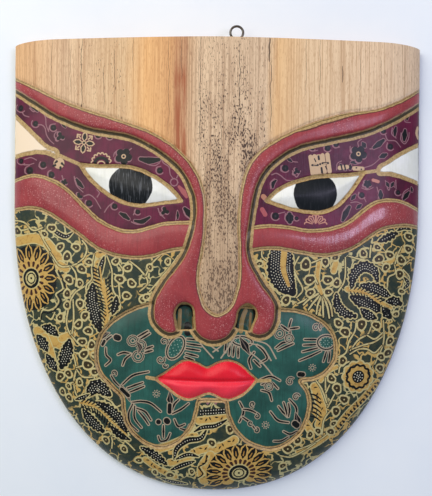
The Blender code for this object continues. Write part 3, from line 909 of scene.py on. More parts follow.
def coin_flower(p, x, y, petals=11):
    """A small flower: a black dotted heart, a gold ring, dark dashes and a scalloped edge."""
    scallops(p, x, y, 13.2, petals, 2.0, GOLD, 3.6)
    scallops(p, x, y, 14.6, petals, 2.2, CREAM, 1.5)
    p.dots([(x, y)], GOLD, 24)
    for angle in np.linspace(0, FULL_TURN, petals + 1)[:-1]:
        way = heading(angle)
        side = np.array([-way[1], way[0]])
        middle = np.array([x, y]) + way * 11.9
        tips = [middle + side * reach - way * 1.2 for reach in (-2.7, 2.7)]
        p.stroke([tips[0], middle + way * 0.6, tips[1]], BLACK, 2.3)
    p.dots([(x, y)], BLACK, 13.5)
    for radius, count in ((4.4, 9), (2.0, 5)):
        p.dots(oval(x, y, radius, radius, 0.3, count)[:-1], DOT_WHITE, 1.2)
    p.dots([(x, y)], DOT_WHITE, 1.0)


def feathered(p, stem, side, length):
    """A gold stem with a row of slanting dark leaflets along one side."""
    places = even_points(stem, 3.6)
    across = square_to(places) * side
    run = np.gradient(places, axis=0)
    run /= np.linalg.norm(run, axis=1)[:, None]
    ends = places + across * length + run * length * 0.55
    for root, tip in zip(places + across * 1.1, ends):
        p.stroke([root, tip], BLACK, (1.0, 2.0))
    p.stroke(stem, GOLD, 1.6)


def lined(p, points, line, line_width, core, core_width, smooth=True):
    """A stroke, and a narrower one of another ink on it."""
    p.stroke(points, line, line_width, smooth)
    p.stroke(points, core, core_width, smooth)


def curl(p, x, y, radius, start, turns):
    """A spiral that winds in to its middle."""
    angle = start + np.linspace(0, FULL_TURN * turns, 12)
    points = around(x, y, angle, radius * np.linspace(1, 0.25, 12))
    lined(p, points, BEIGE, 2.6, DEEP_TEAL, 1.0, False)


def dotted_circle(p, x, y):
    """A small ring in a wider ring of dots."""
    p.dots(oval(x, y, 3.4, 3.4, 0, 9)[:-1], BEIGE, 1.3)
    p.ring(x, y, 1.8, BEIGE, 0.8)


def blob(p, x, y, across, high, turn):
    """A dark seed with a pale outline."""
    way = heading(turn) * (across - high) / 2
    ends = [np.array([x, y]) - way, np.array([x, y]) + way]
    lined(p, ends, BEIGE, high + 1.8, BLACK, high)


# Beads of the batik, as middle and radius
LEFT_BEADS = [
    (18, 233, 4), (51.5, 229.5, 4.2), (44, 235.5, 3.4), (60, 248.5, 4), (76, 248.5, 4), (67, 258, 4.6),
    (89, 263, 3.6), (82, 270, 4.4), (69, 281, 4.4), (80, 284.5, 3.6), (67.5, 295, 4), (67.5, 306.5, 3.6),
    (80.5, 305, 4.2), (60.5, 319, 3.8), (85.5, 317, 4.2), (79, 325.5, 4.2), (89, 332, 4.2),
    (116, 262, 3.8), (128, 268.5, 4), (120, 280, 4.4), (132, 284, 4), (127, 296.5, 4), (143, 300, 3.6),
    (83, 343, 4.2), (92.4, 346.2, 4.2), (84.8, 355.4, 4.6), (95, 356, 2.6), (88.8, 366.2, 5),
    (96, 373, 4), (59.8, 379, 4.6), (68.7, 375.5, 4), (80.3, 383.8, 3.4), (68.6, 388.5, 3),
    (61.6, 395.2, 3.6), (68.7, 400.8, 3.8), (106.3, 443.2, 3.8), (125, 451.6, 3.6), (140, 463, 3.6),
    (171.5, 478.5, 4), (156, 476, 3.2), (193.5, 473.5, 3.2), (213.6, 443.3, 4), (231.5, 429.2, 4),
    (147, 297.5, 3.2), (160, 286, 3.2), (176, 274, 3.4), (168, 262, 3), (150, 268, 3.2),
]
RIGHT_BEADS = [
    (259.7, 263.2, 3.2), (306, 263.7, 5.4), (310.3, 279, 5.2), (325.5, 261, 4.2), (328.2, 279, 4.6),
    (337.1, 281.8, 4), (310.8, 292.2, 4.2), (328.7, 291, 4), (286.6, 299.6, 4.6), (335.5, 256.6, 3.6),
    (363.4, 252.1, 4), (377.6, 245.8, 3.6), (379.2, 257.4, 4.8), (390.3, 253.7, 4.2), (408.2, 247.4, 3.6),
    (408.7, 235, 4), (401.8, 258.4, 4.2), (400.8, 272.6, 4.2), (386.6, 266, 4), (339.2, 322.2, 4.2),
    (362.4, 323.3, 5.2), (377.6, 324.2, 4.4), (346, 331, 4.8), (343.7, 359.8, 4.2), (332.7, 377.5, 4.2),
    (338.4, 387.5, 4.6), (346, 399, 4.6), (338, 411, 4.6), (333.6, 432.5, 4.2), (320.2, 431, 3.6),
    (383.4, 368.4, 4.4), (383.9, 356.4, 4), (391.5, 353, 4.6), (393, 340.6, 4.2), (394.9, 329, 4.2),
    (289.6, 448.8, 5), (299.7, 440, 4.2), (312.1, 434.4, 3.6), (336, 423.9, 3.2), (285.4, 467.6, 3.6),
    (398, 313, 3), (263, 276, 2.8), (270, 288, 2.8), (403, 290, 3),
]
# Vines of the batik
LEFT_VINES = [
    [(10, 226), (22, 232), (34, 229), (44, 243), (50, 252)], [(12, 222), (24, 224), (33, 232), (42, 229)],
    [(76.6, 265), (84.6, 257.7), (86.5, 248), (82.2, 241.7)],
    [(50, 254), (62, 268), (71, 267), (77, 265)],
    [(71, 267.3), (75.8, 274.4), (76.6, 280.8), (75.8, 287.2)],
    [(92, 283), (84, 288), (75.8, 293.6), (71, 301.6), (68.6, 311.1), (67.8, 328.7), (71, 335.8)],
    [(73.4, 301), (74.2, 319.9), (72.6, 335.8)],
    [(119.6, 265), (123.6, 272.8), (119.6, 282.4), (120.4, 299)],
    [(106.9, 256.9), (111.7, 269.7), (114, 292.8), (119.6, 300.8), (120.4, 310), (114, 316)],
    [(94.1, 254.5), (91.7, 269.7), (91.7, 280.8), (87, 285.6), (87.7, 296.8), (94.1, 304), (92.5, 311),
     (95.7, 323), (100, 333)],
    [(70.5, 346), (75, 359.5), (76.8, 370.2), (74.5, 381.8), (75.9, 395.2), (79.4, 401.4), (83.9, 407.7)],
    [(70.5, 352), (66, 365.7), (66, 371)], [(76.8, 370.2), (83.9, 378.2), (93.7, 378.2)],
    [(72.3, 337), (78.5, 344.3)], [(75, 354), (81, 355)], [(77, 369), (84, 367)], [(74, 384), (69, 386)],
    [(55, 314), (51, 321), (46, 318)], [(85, 409), (97, 410), (113, 424), (128, 436)],
    [(90, 425), (94, 432), (103, 436), (110, 434), (113, 442), (112, 452)],
    [(113, 438), (128, 444), (136, 452)], [(95, 378), (98, 384)],
    [(104, 398), (112, 402), (118, 408), (122, 406)], [(130, 262), (140, 270), (148, 284), (140, 292)],
    [(160, 256), (152, 264), (146, 276)], [(178, 256), (170, 268), (160, 280), (150, 292)],
]
RIGHT_VINES = [
    [(345.5, 256.3), (344.5, 280.5), (337.1, 295.3), (339.2, 305.8), (344.5, 315.3), (356, 317)],
    [(406.6, 274.2), (403.4, 289), (403.4, 301.6), (400, 312)],
    [(395, 261.6), (396, 272.1), (389.7, 275.3), (387.6, 286.8), (373.9, 281.6)],
    [(349, 255), (356, 257), (368, 260), (378, 266)], [(371, 244), (370, 256)], [(382, 262), (390, 264)],
    [(402, 245), (398, 254), (396, 262)], [(410, 258), (404, 264)], [(404, 268), (410, 276), (408, 286)],
    [(321, 258), (312, 262)], [(312, 296), (304, 300), (298, 303)], [(318, 283), (314, 275)],
    [(337, 356.9), (346.6, 352), (349.4, 341.6), (356, 329), (357, 319.6)],
    [(384.8, 319.6), (385.8, 341.6), (377.2, 363.6)], [(326.5, 377), (327.4, 394.2), (329.3, 405.7)],
    [(336, 393.3), (329.3, 406.7)], [(342, 403), (331.2, 411.4), (326.5, 418), (324.5, 435.4)],
    [(331, 384), (327, 392)], [(340, 372), (340.8, 366.5), (350, 360.5)],
    [(316, 378), (323, 388), (328, 402)], [(300, 450), (312, 446), (326, 438), (336, 430)],
    [(282, 456), (292, 458), (306, 452), (318, 444)],
    [(351.3, 349.2), (360, 338), (369.5, 332), (372, 326)],
    [(353, 348), (364, 344), (376, 341), (384, 336)],
    [(351, 353), (360, 348), (368, 348), (376, 352), (384, 345)], [(368, 334), (376, 338), (384, 332)],
    [(262, 250), (262, 256), (268, 262), (268, 272), (276, 284), (286, 292), (297, 297)],
    [(297, 297), (303, 290), (297, 276), (294, 268), (299, 256)],
]
# Dark dotted leaves of the batik, as a line and a width
LEFT_LEAVES = [
    ([(42, 329), (50, 331), (58, 337)], 8.5), ([(36, 339), (41, 345), (46, 353)], 10.5),
    ([(70, 342), (67, 355), (61, 370)], 12), ([(46, 358), (50, 365), (56, 373)], 9),
    ([(93, 286), (92, 298), (95, 314), (101, 332)], 12), ([(117, 298), (116, 306), (113, 315)], 6.5),
    ([(89, 397), (97, 387), (111, 396)], 12.5), ([(98, 404), (110, 410), (120, 419), (128, 436)], 8.5),
    ([(84, 413), (92, 424), (104, 434)], 10), ([(76, 402), (84, 399), (90, 396)], 4),
    ([(112, 428), (120, 436), (131, 441)], 6), ([(143, 449), (154, 455), (168, 466)], 7.5),
    ([(104, 258), (101, 268), (100, 278)], 5),
    ([(176, 460), (178, 450), (189, 441), (203, 438), (208, 430)], 5.5),
    ([(178, 460), (191, 455), (200, 457)], 4), ([(173, 472), (185, 466), (196, 462)], 5),
    ([(228, 420), (217, 426), (203, 428), (196, 432)], 4.5), ([(163, 484), (173, 487), (188, 489)], 5),
    ([(50, 228), (60, 236), (66, 238), (72, 234)], 4.5),
]
RIGHT_LEAVES = [
    ([(281, 240), (281, 258), (280.5, 270), (285, 282), (293, 292)], 25),
    ([(352, 286), (355, 272), (364, 265), (374, 269), (378, 280)], 9.5),
    ([(362, 284), (378, 288), (392, 296)], 9.5), ([(352, 296), (368, 303), (384, 309)], 12),
    ([(337, 293), (338, 304), (345, 312), (356, 315)], 8), ([(362, 308), (369, 314), (377, 317)], 8),
    ([(384, 307), (389, 313), (393, 317)], 8), ([(388, 300), (397, 300), (403, 303)], 8),
    ([(379, 240), (388, 236), (398, 231)], 6.5), ([(398, 229), (404, 226), (410, 228)], 4),
    ([(405, 276), (409, 282), (404, 288)], 4),
]
# Gold patches between the motifs, as a line and a width
GOLD_PATCHES = [
    ([(19, 243), (34, 240), (46, 244)], 9), ([(48, 246), (57, 258), (60, 268)], 9),
    ([(60, 266), (66, 270)], 7), ([(36, 334), (50, 342), (62, 346)], 10),
    ([(44, 340), (50, 356), (52, 366)], 9), ([(62, 340), (72, 336)], 7), ([(98, 256), (103, 254)], 6),
    ([(90, 290), (89, 300)], 6), ([(98, 264), (97, 278), (104, 290), (108, 305), (106, 322)], 6),
    ([(319, 262), (318, 282), (322, 293)], 3.4), ([(348, 288), (364, 291), (381, 302), (392, 306)], 5),
    ([(336, 262), (334, 270)], 5), ([(316, 386), (320, 398), (324, 412), (321, 424)], 8),
    ([(308, 424), (312, 430)], 6), ([(381, 384), (366, 400), (351, 414), (340, 428)], 7),
    ([(375, 260), (386, 262), (396, 258)], 4), ([(200, 421), (227, 418)], 6.5),
    ([(196, 436), (186, 440), (172, 446), (160, 450)], 7),
    ([(172, 464), (186, 460), (198, 452), (210, 448)], 7), ([(214, 450), (226, 446), (236, 440)], 8),
    ([(206, 484), (204, 470), (212, 456)], 9), ([(84, 404), (97, 408), (112, 420), (127, 434)], 4.5),
    ([(147, 462), (160, 472), (176, 480)], 6), ([(322, 380), (330, 370), (338, 366)], 3),
    ([(300, 452), (318, 446), (330, 438)], 4),
]


# Feathery leaves of the batik, as a stem, the side of its leaflets and their length
FEATHERS = [
    ([(104, 333), (108, 312), (103, 290), (100, 268)], -1, 7),
    ([(108, 316), (106, 296), (104, 280)], 1, 6),
    ([(80, 405), (97, 409), (113, 423), (128, 436)], 1, 6),
    ([(80, 405), (97, 409), (113, 423), (128, 436)], -1, 5),
    ([(349, 289), (364, 291), (381, 302), (391, 306)], 1, 7),
    ([(349, 289), (364, 291), (381, 302)], -1, 5),
]
# The fan of blades beside the nose
BLADES = [
    [(318.5, 293), (309, 299), (304, 304)], [(320, 295), (313, 303), (309, 309)],
    [(321.5, 296), (318, 305), (317, 313)], [(323, 296), (323.5, 306), (324, 316)],
    [(324, 295), (328, 306), (330, 317)], [(325, 294), (331, 304), (333, 315)],
]
TREE_SIDE = 80  # gold patches that begin left of this are the tree's, which has no dashes
NOSE_VINE = [(284.5, 250), (283.5, 268), (289, 285)]
LEFT_DAISY, CHIN_DAISY, COIN_FLOWER = (30.7, 280), (241, 474.5), (360, 376)
LEFT_GARLAND = [(56, 272), (61, 282), (63, 290), (56, 296), (59, 302), (55, 309), (49, 312), (42, 312),
                (40, 320)]
CHIN_GARLAND = [(211, 456), (209, 464), (203, 468), (207, 476), (200, 482)]
RUNG, RUNGS_FROM, RUNGS_TO = [(311, 0), (317, 1.6), (322, 5.5)], 393, 416
FRINGE = [(382, 381), (366, 398), (351, 412), (339, 428)]
ZIGZAG = [(201, 404), (205, 399), (209, 404), (213, 399), (217, 404), (221, 399), (226, 403)]
DOTTED_BARS = [(410.5, 202, 227, 3.4), (413.6, 202, 226, 2.8)]  # height, left, right and width


def garland(p, points, aside, gap, width):
    """A pale line, and a dark one that is moved aside from it by a gap."""
    for offset, colour in ((0.0, CREAM), (gap, BLACK)):
        p.stroke(np.array(points) + np.array(aside) * offset, colour, width)


def batik_drawing(p):
    """Cheeks and chin: vines, beads, dotted leaves, two daisies and a coin flower on dark green."""
    p.field = "batik"
    for points, width in GOLD_PATCHES:
        lined(p, points, CREAM, width + 2.2, GOLD, width)
        dashed = width > 5.5 and points[0][0] > TREE_SIDE
        for number, place in enumerate(even_points(points, 5.2) if dashed else []):
            way = heading(2.1 * number)
            middle = place + way[::-1] * (number % 3 - 1) * width * 0.24
            p.stroke([middle - way * 1.5, middle + way * 1.5], BLACK if number % 2 else BEAD_BROWN,
                     (0.8, 1.6, 0.8))
    for points in LEFT_VINES + RIGHT_VINES:
        lined(p, points, BLACK, 2.8, CREAM, (1.3, 1.8, 1.5))
    for points, width in LEFT_LEAVES + RIGHT_LEAVES:
        dotted_leaf(p, points, width)
    for stem, side, length in FEATHERS:
        feathered(p, stem, side, length)
    p.stroke(NOSE_VINE, GOLD, (6.4, 6.0, 5.0, 3.0))
    rosette(p, *LEFT_DAISY, 0.74, math.pi / 2, (0, FULL_TURN), 16)
    garland(p, LEFT_GARLAND, [(1, 0)] * 6 + [(0, 1)] * 3, 2.6, 1.5)
    rosette(p, *CHIN_DAISY, 0.86, -0.3, (math.pi * 0.9, 2.22 * math.pi), 14)
    garland(p, CHIN_GARLAND, (-1, 0), 2.4, 1.4)
    coin_flower(p, *COIN_FLOWER)
    for points in BLADES:
        lined(p, points, BLACK, 3.6, CREAM, (2.2, 1.6))
    for y in np.arange(RUNGS_FROM, RUNGS_TO, 4.4):
        p.stroke(np.array(RUNG) + [0, y], BLACK, (1.1, 1.9, 1.1))
    border = even_points(FRINGE, 4.4)
    for place, way in zip(border, square_to(border)):
        p.stroke([place - way * 3.4, place - way * 1.4], BLACK, (2.8, 1.6))
    p.stroke(ZIGZAG, LILAC, 1.6, False)
    for y, left, right, size in DOTTED_BARS:
        p.stroke([(left, y + 0.8), (right, y - 1.2)], BLACK, size)
        p.dots([(x, y + 0.8 - 0.08 * (x - left)) for x in np.arange(left, right, 2.6)], DOT_WHITE, 1.1)
    for x, y, radius in LEFT_BEADS + RIGHT_BEADS:
        ringed_dot(p, x, y, radius)


# Lines of the muzzle, each pale with a dark core
TEAL_LINES = [
    [(139, 337.3), (148.6, 331.6)], [(141, 340), (150.5, 334)], [(145.7, 349.8), (153.4, 347)],
    [(146, 353), (153, 351)], [(131.4, 354.5), (124, 353.5), (118.9, 355.5)],
    [(131.4, 355.5), (126, 360), (123.7, 366)], [(106.5, 349), (107, 356), (111.5, 361), (106.5, 366.5)],
    [(104, 346), (108, 340), (112, 337)], [(187.8, 339.2), (202.2, 340.2)], [(187.8, 344), (202.2, 346)],
    [(187, 348.8), (200.3, 350.7)], [(187, 353.6), (198.3, 356.5)], [(186, 357.4), (194.5, 360.3)],
    [(123.7, 385.2), (133.3, 376.6), (149.5, 372.4)], [(128.5, 389), (136, 386), (143.8, 383.3)],
    [(131, 393), (138, 390), (145, 387)], [(112.2, 377), (115, 382), (120, 387)],
    [(133.3, 403.3), (142, 402), (150.5, 403.3), (162, 412)],
    [(134, 405), (130, 414), (131, 424), (139, 432)], [(136, 407), (136, 419), (142.8, 428.2)],
    [(138, 409), (146, 412), (152.4, 420.6)], [(140, 412), (146, 419), (150, 425)],
    [(165, 426), (165, 438)], [(160, 437), (162, 442), (168, 441), (171.6, 434)],
    [(174, 414), (182, 410), (189.7, 404)], [(176, 420), (180, 427), (186, 425)],
    [(182, 429), (188, 431), (191, 426)], [(173, 412), (176, 404), (180, 400)],
    [(320.7, 338.7), (305.4, 338.7)], [(319.8, 343.5), (304.4, 344.4)], [(318.8, 347), (303.5, 351)],
    [(321.7, 350.2), (312, 355), (300.6, 359.8)], [(327.4, 351), (324.5, 360.7)],
    [(331, 351), (330, 361)], [(276.7, 347.3), (284, 342), (292, 341)],
    [(279, 350), (287, 346), (294, 343)], [(291, 333), (290, 326), (292, 319)], [(291, 328), (299, 327)],
    [(289, 330), (282, 325)], [(272, 411.4), (279.6, 420), (290, 422)],
    [(291, 399), (297.8, 407.6), (297.8, 416)], [(289, 416), (283, 410), (280, 406)],
    [(289, 416), (287, 408), (285, 402)], [(290, 416), (291, 409), (290, 403)],
    [(285.3, 431), (292, 434), (299, 431)], [(275.7, 441), (283, 441), (290, 437)],
    [(241, 402), (245, 411), (241, 422)], [(245, 409), (252, 410), (258, 413)],
    [(244, 417), (250, 421), (256, 428)], [(258, 345), (264, 350), (268, 358), (262, 362)],
    [(255, 352), (250, 360), (252, 368)], [(255, 360), (261, 366)], [(227, 342), (226, 352)],
    [(231, 344), (230, 355)], [(235, 346), (234, 356)], [(239, 348), (239, 357)],
    [(262, 379), (272, 376), (281, 380)], [(263, 384), (272, 382), (279, 388)],
    [(263, 390), (270, 392), (273, 400)], [(300, 378), (306, 383)], [(270, 321), (277, 326), (280, 321)],
]
# Spirals of the muzzle, as middle, radius, first angle and turns
TEAL_SPIRALS = [
    (165, 342, 4.2, 0.6, -1.0), (161.5, 360, 4.6, -0.4, 1.0), (115, 374, 3.0, 0.9, -0.9),
    (317, 327, 4.6, 0.5, -1.1), (323, 325, 3.4, 2.0, 0.8), (291.5, 381, 4.6, -0.8, -1.0),
    (297.5, 396.5, 3.8, -0.4, -1.0), (254, 404, 3.0, 1.4, 1.0), (258.5, 416, 2.8, -1.5, 1.0),
    (252, 423, 2.6, 1.2, 0.9), (258, 430, 2.8, -1.4, 0.9), (166, 366, 2.6, 0.0, 0.8),
]
# Thin pale lines of the muzzle
TEAL_WISPS = [
    [(251, 352), (262, 361), (274, 375)], [(250, 343), (262, 346), (272, 360)],
    [(255, 340), (268, 344), (277, 358)], [(196, 336), (204, 347), (214, 358)],
    [(236, 336), (229, 348), (222, 358)], [(229, 337), (222, 346), (214, 352)],
    [(205, 337), (212, 346), (219, 351)],
]
# Seeds of the muzzle, as middle, length, width and turn
TEAL_SEEDS = [
    (118, 338.5, 8, 6, 0.3), (302.5, 374, 8, 5, 0.1), (160, 422.5, 5, 5, 0), (168.5, 421.5, 7, 6, 0.8),
    (126, 393.5, 13, 4, 0.75), (171, 409, 11, 4, 1.6), (297.5, 424, 9, 6, 0.7), (104, 344, 7, 3, -1.1),
]
# Buds of the muzzle, as a line and a width
TEAL_BUDS = [
    ([(240.6, 337), (245, 344), (250.4, 354)], 7.4), ([(297, 412), (299, 420), (303, 428)], 7.0),
    ([(171, 392), (171.4, 400), (173, 408)], 6.0), ([(122, 386), (127, 394), (131, 402)], 5.6),
    ([(101, 341), (105, 336), (110, 334)], 5.0), ([(137, 342), (141, 348), (139, 354)], 4.0),
]
# Rings of the muzzle, as middle and radius, and its dotted ovals, as middle, reaches and turn
TEAL_RINGS = [(141.9, 345.9, 4.6), (139, 357, 5.4), (133.5, 341.5, 5), (280.5, 333, 5), (290, 337.8, 4),
              (270, 386, 4)]
TEAL_OVALS = [(176.5, 348, 12.5, 7.5, -1.05), (327.4, 341.6, 9, 7, 0.0), (243, 341, 10, 4.6, 0.1)]
TEAL_CIRCLES = [(313.5, 367), (157.7, 394.3), (267.2, 424.7)]
WAXED = 3.3  # the width of a pale line, as wax leaves it round its dark core


def teal_drawing(p):
    """The muzzle: buds, curls, combs and seeds in pale lines with dark cores."""
    p.field = "teal"
    for points in TEAL_LINES:
        lined(p, points, BEIGE, WAXED, BLACK, (WAXED * 0.36, WAXED * 0.62, WAXED * 0.36))
    for x, y, radius in TEAL_RINGS:
        p.ring(x, y, radius, BEIGE, 2.4)
        p.ring(x, y, radius, DEEP_TEAL, 0.9)
        p.ring(x, y, radius * 0.4, BEIGE, 1.0)
    for x, y, wide, high, turn in TEAL_OVALS:
        lined(p, oval(x, y, wide, high, turn, 22), BEIGE, 3.4, DEEP_TEAL, 1.3, False)
        for share, count in ((0.66, 12), (0.3, 6)):
            seeds = oval(x, y, wide * share, high * share, turn, count)[:-1]
            p.dots(seeds, ink(150, 178, 158), 1.0)
    for x, y, radius, start, turns in TEAL_SPIRALS:
        curl(p, x, y, radius, start, turns)
    for x, y in TEAL_CIRCLES:
        dotted_circle(p, x, y)
    for line, width in TEAL_BUDS:
        lined(p, line, BEIGE, (2.0, width + 1.6, 2.0), BLACK, (0.6, width, 0.6))
        p.stroke(line, ink(110, 96, 86), (0.5, 1.2, 0.5))
    for line in TEAL_WISPS:
        p.stroke(line, BEIGE, (1.2, 1.5))
    for x, y, across, high, turn in TEAL_SEEDS:
        blob(p, x, y, across, high, turn)


# Berries of the lids, as middle and radius
LID_BERRIES = [
    (20.2, 110.4, 3.2), (33.7, 124.7, 3.0), (52, 128.7, 3.0), (97, 136, 2.8), (108.4, 137, 2.8),
    (21, 163, 2.8), (41.9, 165.9, 3.2), (28.8, 172, 3.8), (50.4, 176, 3.3), (88.4, 204.2, 3.2),
    (114, 207, 2.8), (159, 170.8, 3.0), (137.2, 212.4, 2.4), (284.7, 167.4, 3.3), (327.1, 146.7, 3.1),
    (335.3, 142.6, 3.0), (382.9, 129.2, 2.7), (390.1, 144.7, 3.1), (275.4, 215.4, 3.6),
    (361.7, 193.7, 2.9), (398.4, 190.6, 2.4), (311.6, 146.6, 2.6), (296.6, 217.5, 1.9),
]
# Dark leaves of the lids, as a line and a width
LID_LEAVES = [
    ([(27.6, 104.2), (31.5, 107.4), (35.4, 111.6)], 4.6), ([(43, 113), (46.5, 117.4)], 3.2),
    ([(60, 124), (64, 128.4)], 2.4), ([(75.6, 180.4), (78.4, 184.6), (81.8, 188.2)], 4.0),
    ([(120, 214.2), (124, 216.4), (128.2, 219.7)], 4.4),
    ([(134.5, 221.5), (140.6, 222.4), (149, 217.9)], 4.0),
    ([(139.5, 159.4), (148, 161), (158, 159.9)], 6.0), ([(163, 157), (167, 161.4)], 4.4),
    ([(169.6, 164), (173.4, 168.6)], 3.4), ([(177.3, 212), (177.4, 219)], 2.2),
    ([(184.3, 208.8), (188.2, 213), (191.6, 217.9)], 5.4),
    ([(272.4, 187), (272.8, 182.6), (275.4, 179.8)], 3.2), ([(286.6, 157.4), (291, 160.6)], 2.6),
    ([(362.2, 141.6), (364.4, 145.2)], 4.2), ([(373.4, 146), (378.4, 142.4), (383, 138.4)], 5.0),
    ([(395.6, 125.4), (394.8, 129), (394.6, 133.4)], 3.6),
    ([(404.4, 128.6), (404, 133), (403.6, 138)], 5.2), ([(406.6, 113), (406, 118)], 3.0),
    ([(380, 155.4), (386, 152.6)], 4.4), ([(342.8, 219), (345.6, 212.4), (349.4, 205.6)], 5.2),
    ([(357, 206.8), (361, 203.4)], 3.4), ([(351.6, 198), (355, 193.8)], 3.4),
    ([(380.4, 189.6), (381, 197.4)], 4.4), ([(403.6, 197.2), (408.2, 190.6)], 4.2),
    ([(386.6, 181), (388.6, 184.6)], 3.0), ([(393.6, 181), (391.6, 184.6)], 3.0),
    ([(289.4, 213.6), (289.8, 221)], 7.2), ([(345, 168.4), (340, 163.4)], 3.4),
    ([(349.8, 163.8), (349.8, 168)], 3.4), ([(351, 161), (359.4, 160.6)], 3.6),
    ([(410.4, 186), (411, 190)], 2.6),
]
# Stems and wisps of the lids
LID_STEMS = [
    [(35.8, 125.9), (39.8, 125.9), (43.1, 128.7), (44.7, 135.3), (48.8, 141.8), (52.5, 145)],
    [(39.8, 111.6), (43.9, 118.9), (44.3, 125.5), (47.2, 132.8)],
    [(28, 109.5), (31.7, 112.8), (35.8, 111.2)], [(21.6, 114.4), (23, 117), (27.6, 118.4)],
    [(47, 131.6), (49, 126), (54, 125)], [(55, 141.4), (52.8, 137), (54.4, 133.4), (59, 133)],
    [(23.5, 166.6), (28, 166.4), (32.5, 164.6)], [(24, 161), (30, 159), (35, 161.4)],
    [(38.4, 163.6), (37.4, 167.6), (40.6, 170.4)], [(24.4, 174.6), (25, 169.4), (28.4, 167)],
    [(47, 177.4), (47, 173), (50, 171.4)], [(61, 176.9), (62, 180), (60.4, 184)],
    [(73.3, 177.7), (74, 182), (75.8, 186.7), (82.3, 193.2)],
    [(83.1, 197.3), (88, 195.7), (94, 199.4), (97, 204), (100.2, 209.5)],
    [(96.4, 198), (98.6, 193.6), (96, 190.6)], [(104, 213), (108, 207), (113, 203)],
    [(130.4, 149), (127.6, 151.4), (127, 154)], [(117.6, 150.6), (113.4, 153.6), (112.6, 157)],
    [(140.8, 161.2), (147.2, 164.8), (154.4, 165.8), (159, 163)],
    [(160.8, 155.4), (162.1, 162.6), (168, 167.1), (169.8, 175.3), (172, 178.4)],
    [(155.6, 172.4), (155.6, 168), (160, 166.6)], [(176, 178), (178.4, 173.4)],
    [(157.6, 208.8), (159, 213.2), (164.4, 218.8)], [(177, 210.6), (176, 215), (175.3, 220.6)],
    [(182.4, 208.8), (184.8, 215.6), (190.6, 219.8)], [(131, 222.6), (137, 225), (144, 224.4)],
    [(133, 215.4), (135, 211)], [(280.4, 165.4), (280.6, 170), (284.6, 171.6)],
    [(287.8, 158.1), (292, 160.6), (297.1, 161.2)], [(292, 170), (296, 176.2), (300.2, 170)],
    [(271.3, 174.1), (275.4, 172.6), (280.6, 175.1), (285.8, 179.3), (295, 179.3)],
    [(270.4, 188), (270, 182), (274, 178)], [(323.6, 144.4), (323.8, 149.4), (328, 150.8)],
    [(332, 140.6), (334, 146.6), (339, 145.8)], [(307.4, 146.6), (312, 150), (317, 149)],
    [(369.4, 147.3), (376, 146.8), (382, 142.6), (386, 138.4)],
    [(384.9, 132.8), (387, 138), (395.3, 139), (400.4, 145.2)], [(387, 141), (387, 147.4), (391, 148.4)],
    [(392, 126), (391.6, 132), (396, 136)],
    [(400.8, 131), (401, 139), (404, 142), (407.2, 138), (408, 131)],
    [(404.6, 113), (404.4, 120), (409, 121)], [(358.4, 146), (357.4, 140.6), (361, 137.6)],
    [(349.6, 145), (350.4, 151.4), (353, 153)], [(336.4, 168.6), (337, 162), (341, 159.6)],
    [(362, 166.6), (372, 163.4), (379, 157.4)], [(341.4, 218), (342.6, 211), (347, 204)],
    [(278.4, 213), (284.6, 211.4)], [(350.8, 201.4), (356.8, 200.6), (361.4, 202.4)],
    [(364, 196.4), (366, 200.4)], [(358.6, 191), (360.4, 197.6)],
    [(361.6, 186.6), (367.4, 188.4), (373, 186)], [(376.8, 185.6), (378.4, 191), (378, 198.6)],
    [(385.4, 179), (389, 188.6), (391.4, 181)], [(391.4, 181), (395, 185.4)],
    [(396, 178.4), (396.4, 187)], [(402, 196), (404, 190), (408, 187)],
    [(285.4, 213), (285, 219), (289, 223)],
]


# Flowers of the lids: the lobed ones as middle, reach and lobes
LOBED_FLOWERS = [(59, 137.7, 4.6, 3), (63.5, 183.4, 3.4, 4), (78.2, 197.3, 3.8, 3),
                 (164.4, 211.5, 4.4, 3), (296.1, 170.4, 3.6, 3), (367.4, 182.4, 4.2, 5)]
CROSS_FLOWER, SQUARE_FLOWER = np.array([82.7, 143.6]), np.array([319.7, 163.0])
RINGED_FLOWERS = [(122.6, 157), (358, 152.4)]
UPPER_HALF_FLOWER, LOWER_HALF_FLOWER = (100.2, 164), (315.7, 224)
TEMPLE_FLOWER = (57.8, 164.4)
TEMPLE_PETALS = [(55.6, 162.6, 2.4), (60.8, 164.6, 0.8), (54, 166.4, 2.8), (59.4, 168.6, 1.7)]
# Scraps beside the right ringed flower, by the eyes' inner corners and at the right edge
WORN_BAR, WORN_BAR_DOTS = [(354, 167), (362, 167.4)], [(356, 166.4), (361, 167.8)]
BAR_SCRAPS = [
    ([(339.4, 166.6), (346.6, 165.6)], BUFF, 4.4), ([(340.6, 163.4), (341.8, 168.4)], BLACK, 1.6),
    ([(344, 163.4), (345, 168)], BLACK, 1.6),
]
EYE_SCRAPS = [
    ([(178.5, 187), (183, 192), (186, 197)], ink(172, 92, 92), (3.0, 5.4, 3.0)),
    ([(263, 196), (266, 199)], ink(190, 130, 100), 5.0),
    ([(262, 209), (265, 214)], ink(176, 88, 90), 4.6),
    ([(415.6, 127), (414.6, 132), (416, 137)], BUFF, 3.4),
    ([(373, 178.6), (378, 180)], ink(196, 128, 112), 3.4),
]
EYE_CORNER_RING = (173.4, 182.5)


def berry(p, x, y, radius):
    """A dark round berry with a pale line along its lower left side."""
    rim = oval(x, y, radius + 0.9, radius + 0.9, 0, 9, 0.2 * math.pi, 1.25 * math.pi)
    p.stroke(rim, LILAC, 1.1, False)
    p.dots([(x, y)], BLACK, 2 * radius)
    p.dots([(x, y)], ink(48, 38, 42), radius * 0.6)


def lobed(p, x, y, reach, lobes, turn=0.3, fill=BLACK):
    """A flower of round lobes about its middle."""
    p.dots(oval(x, y, reach * 0.58, reach * 0.58, turn, lobes)[:-1], fill, reach * 0.86)
    p.dots([(x, y)], fill, reach)


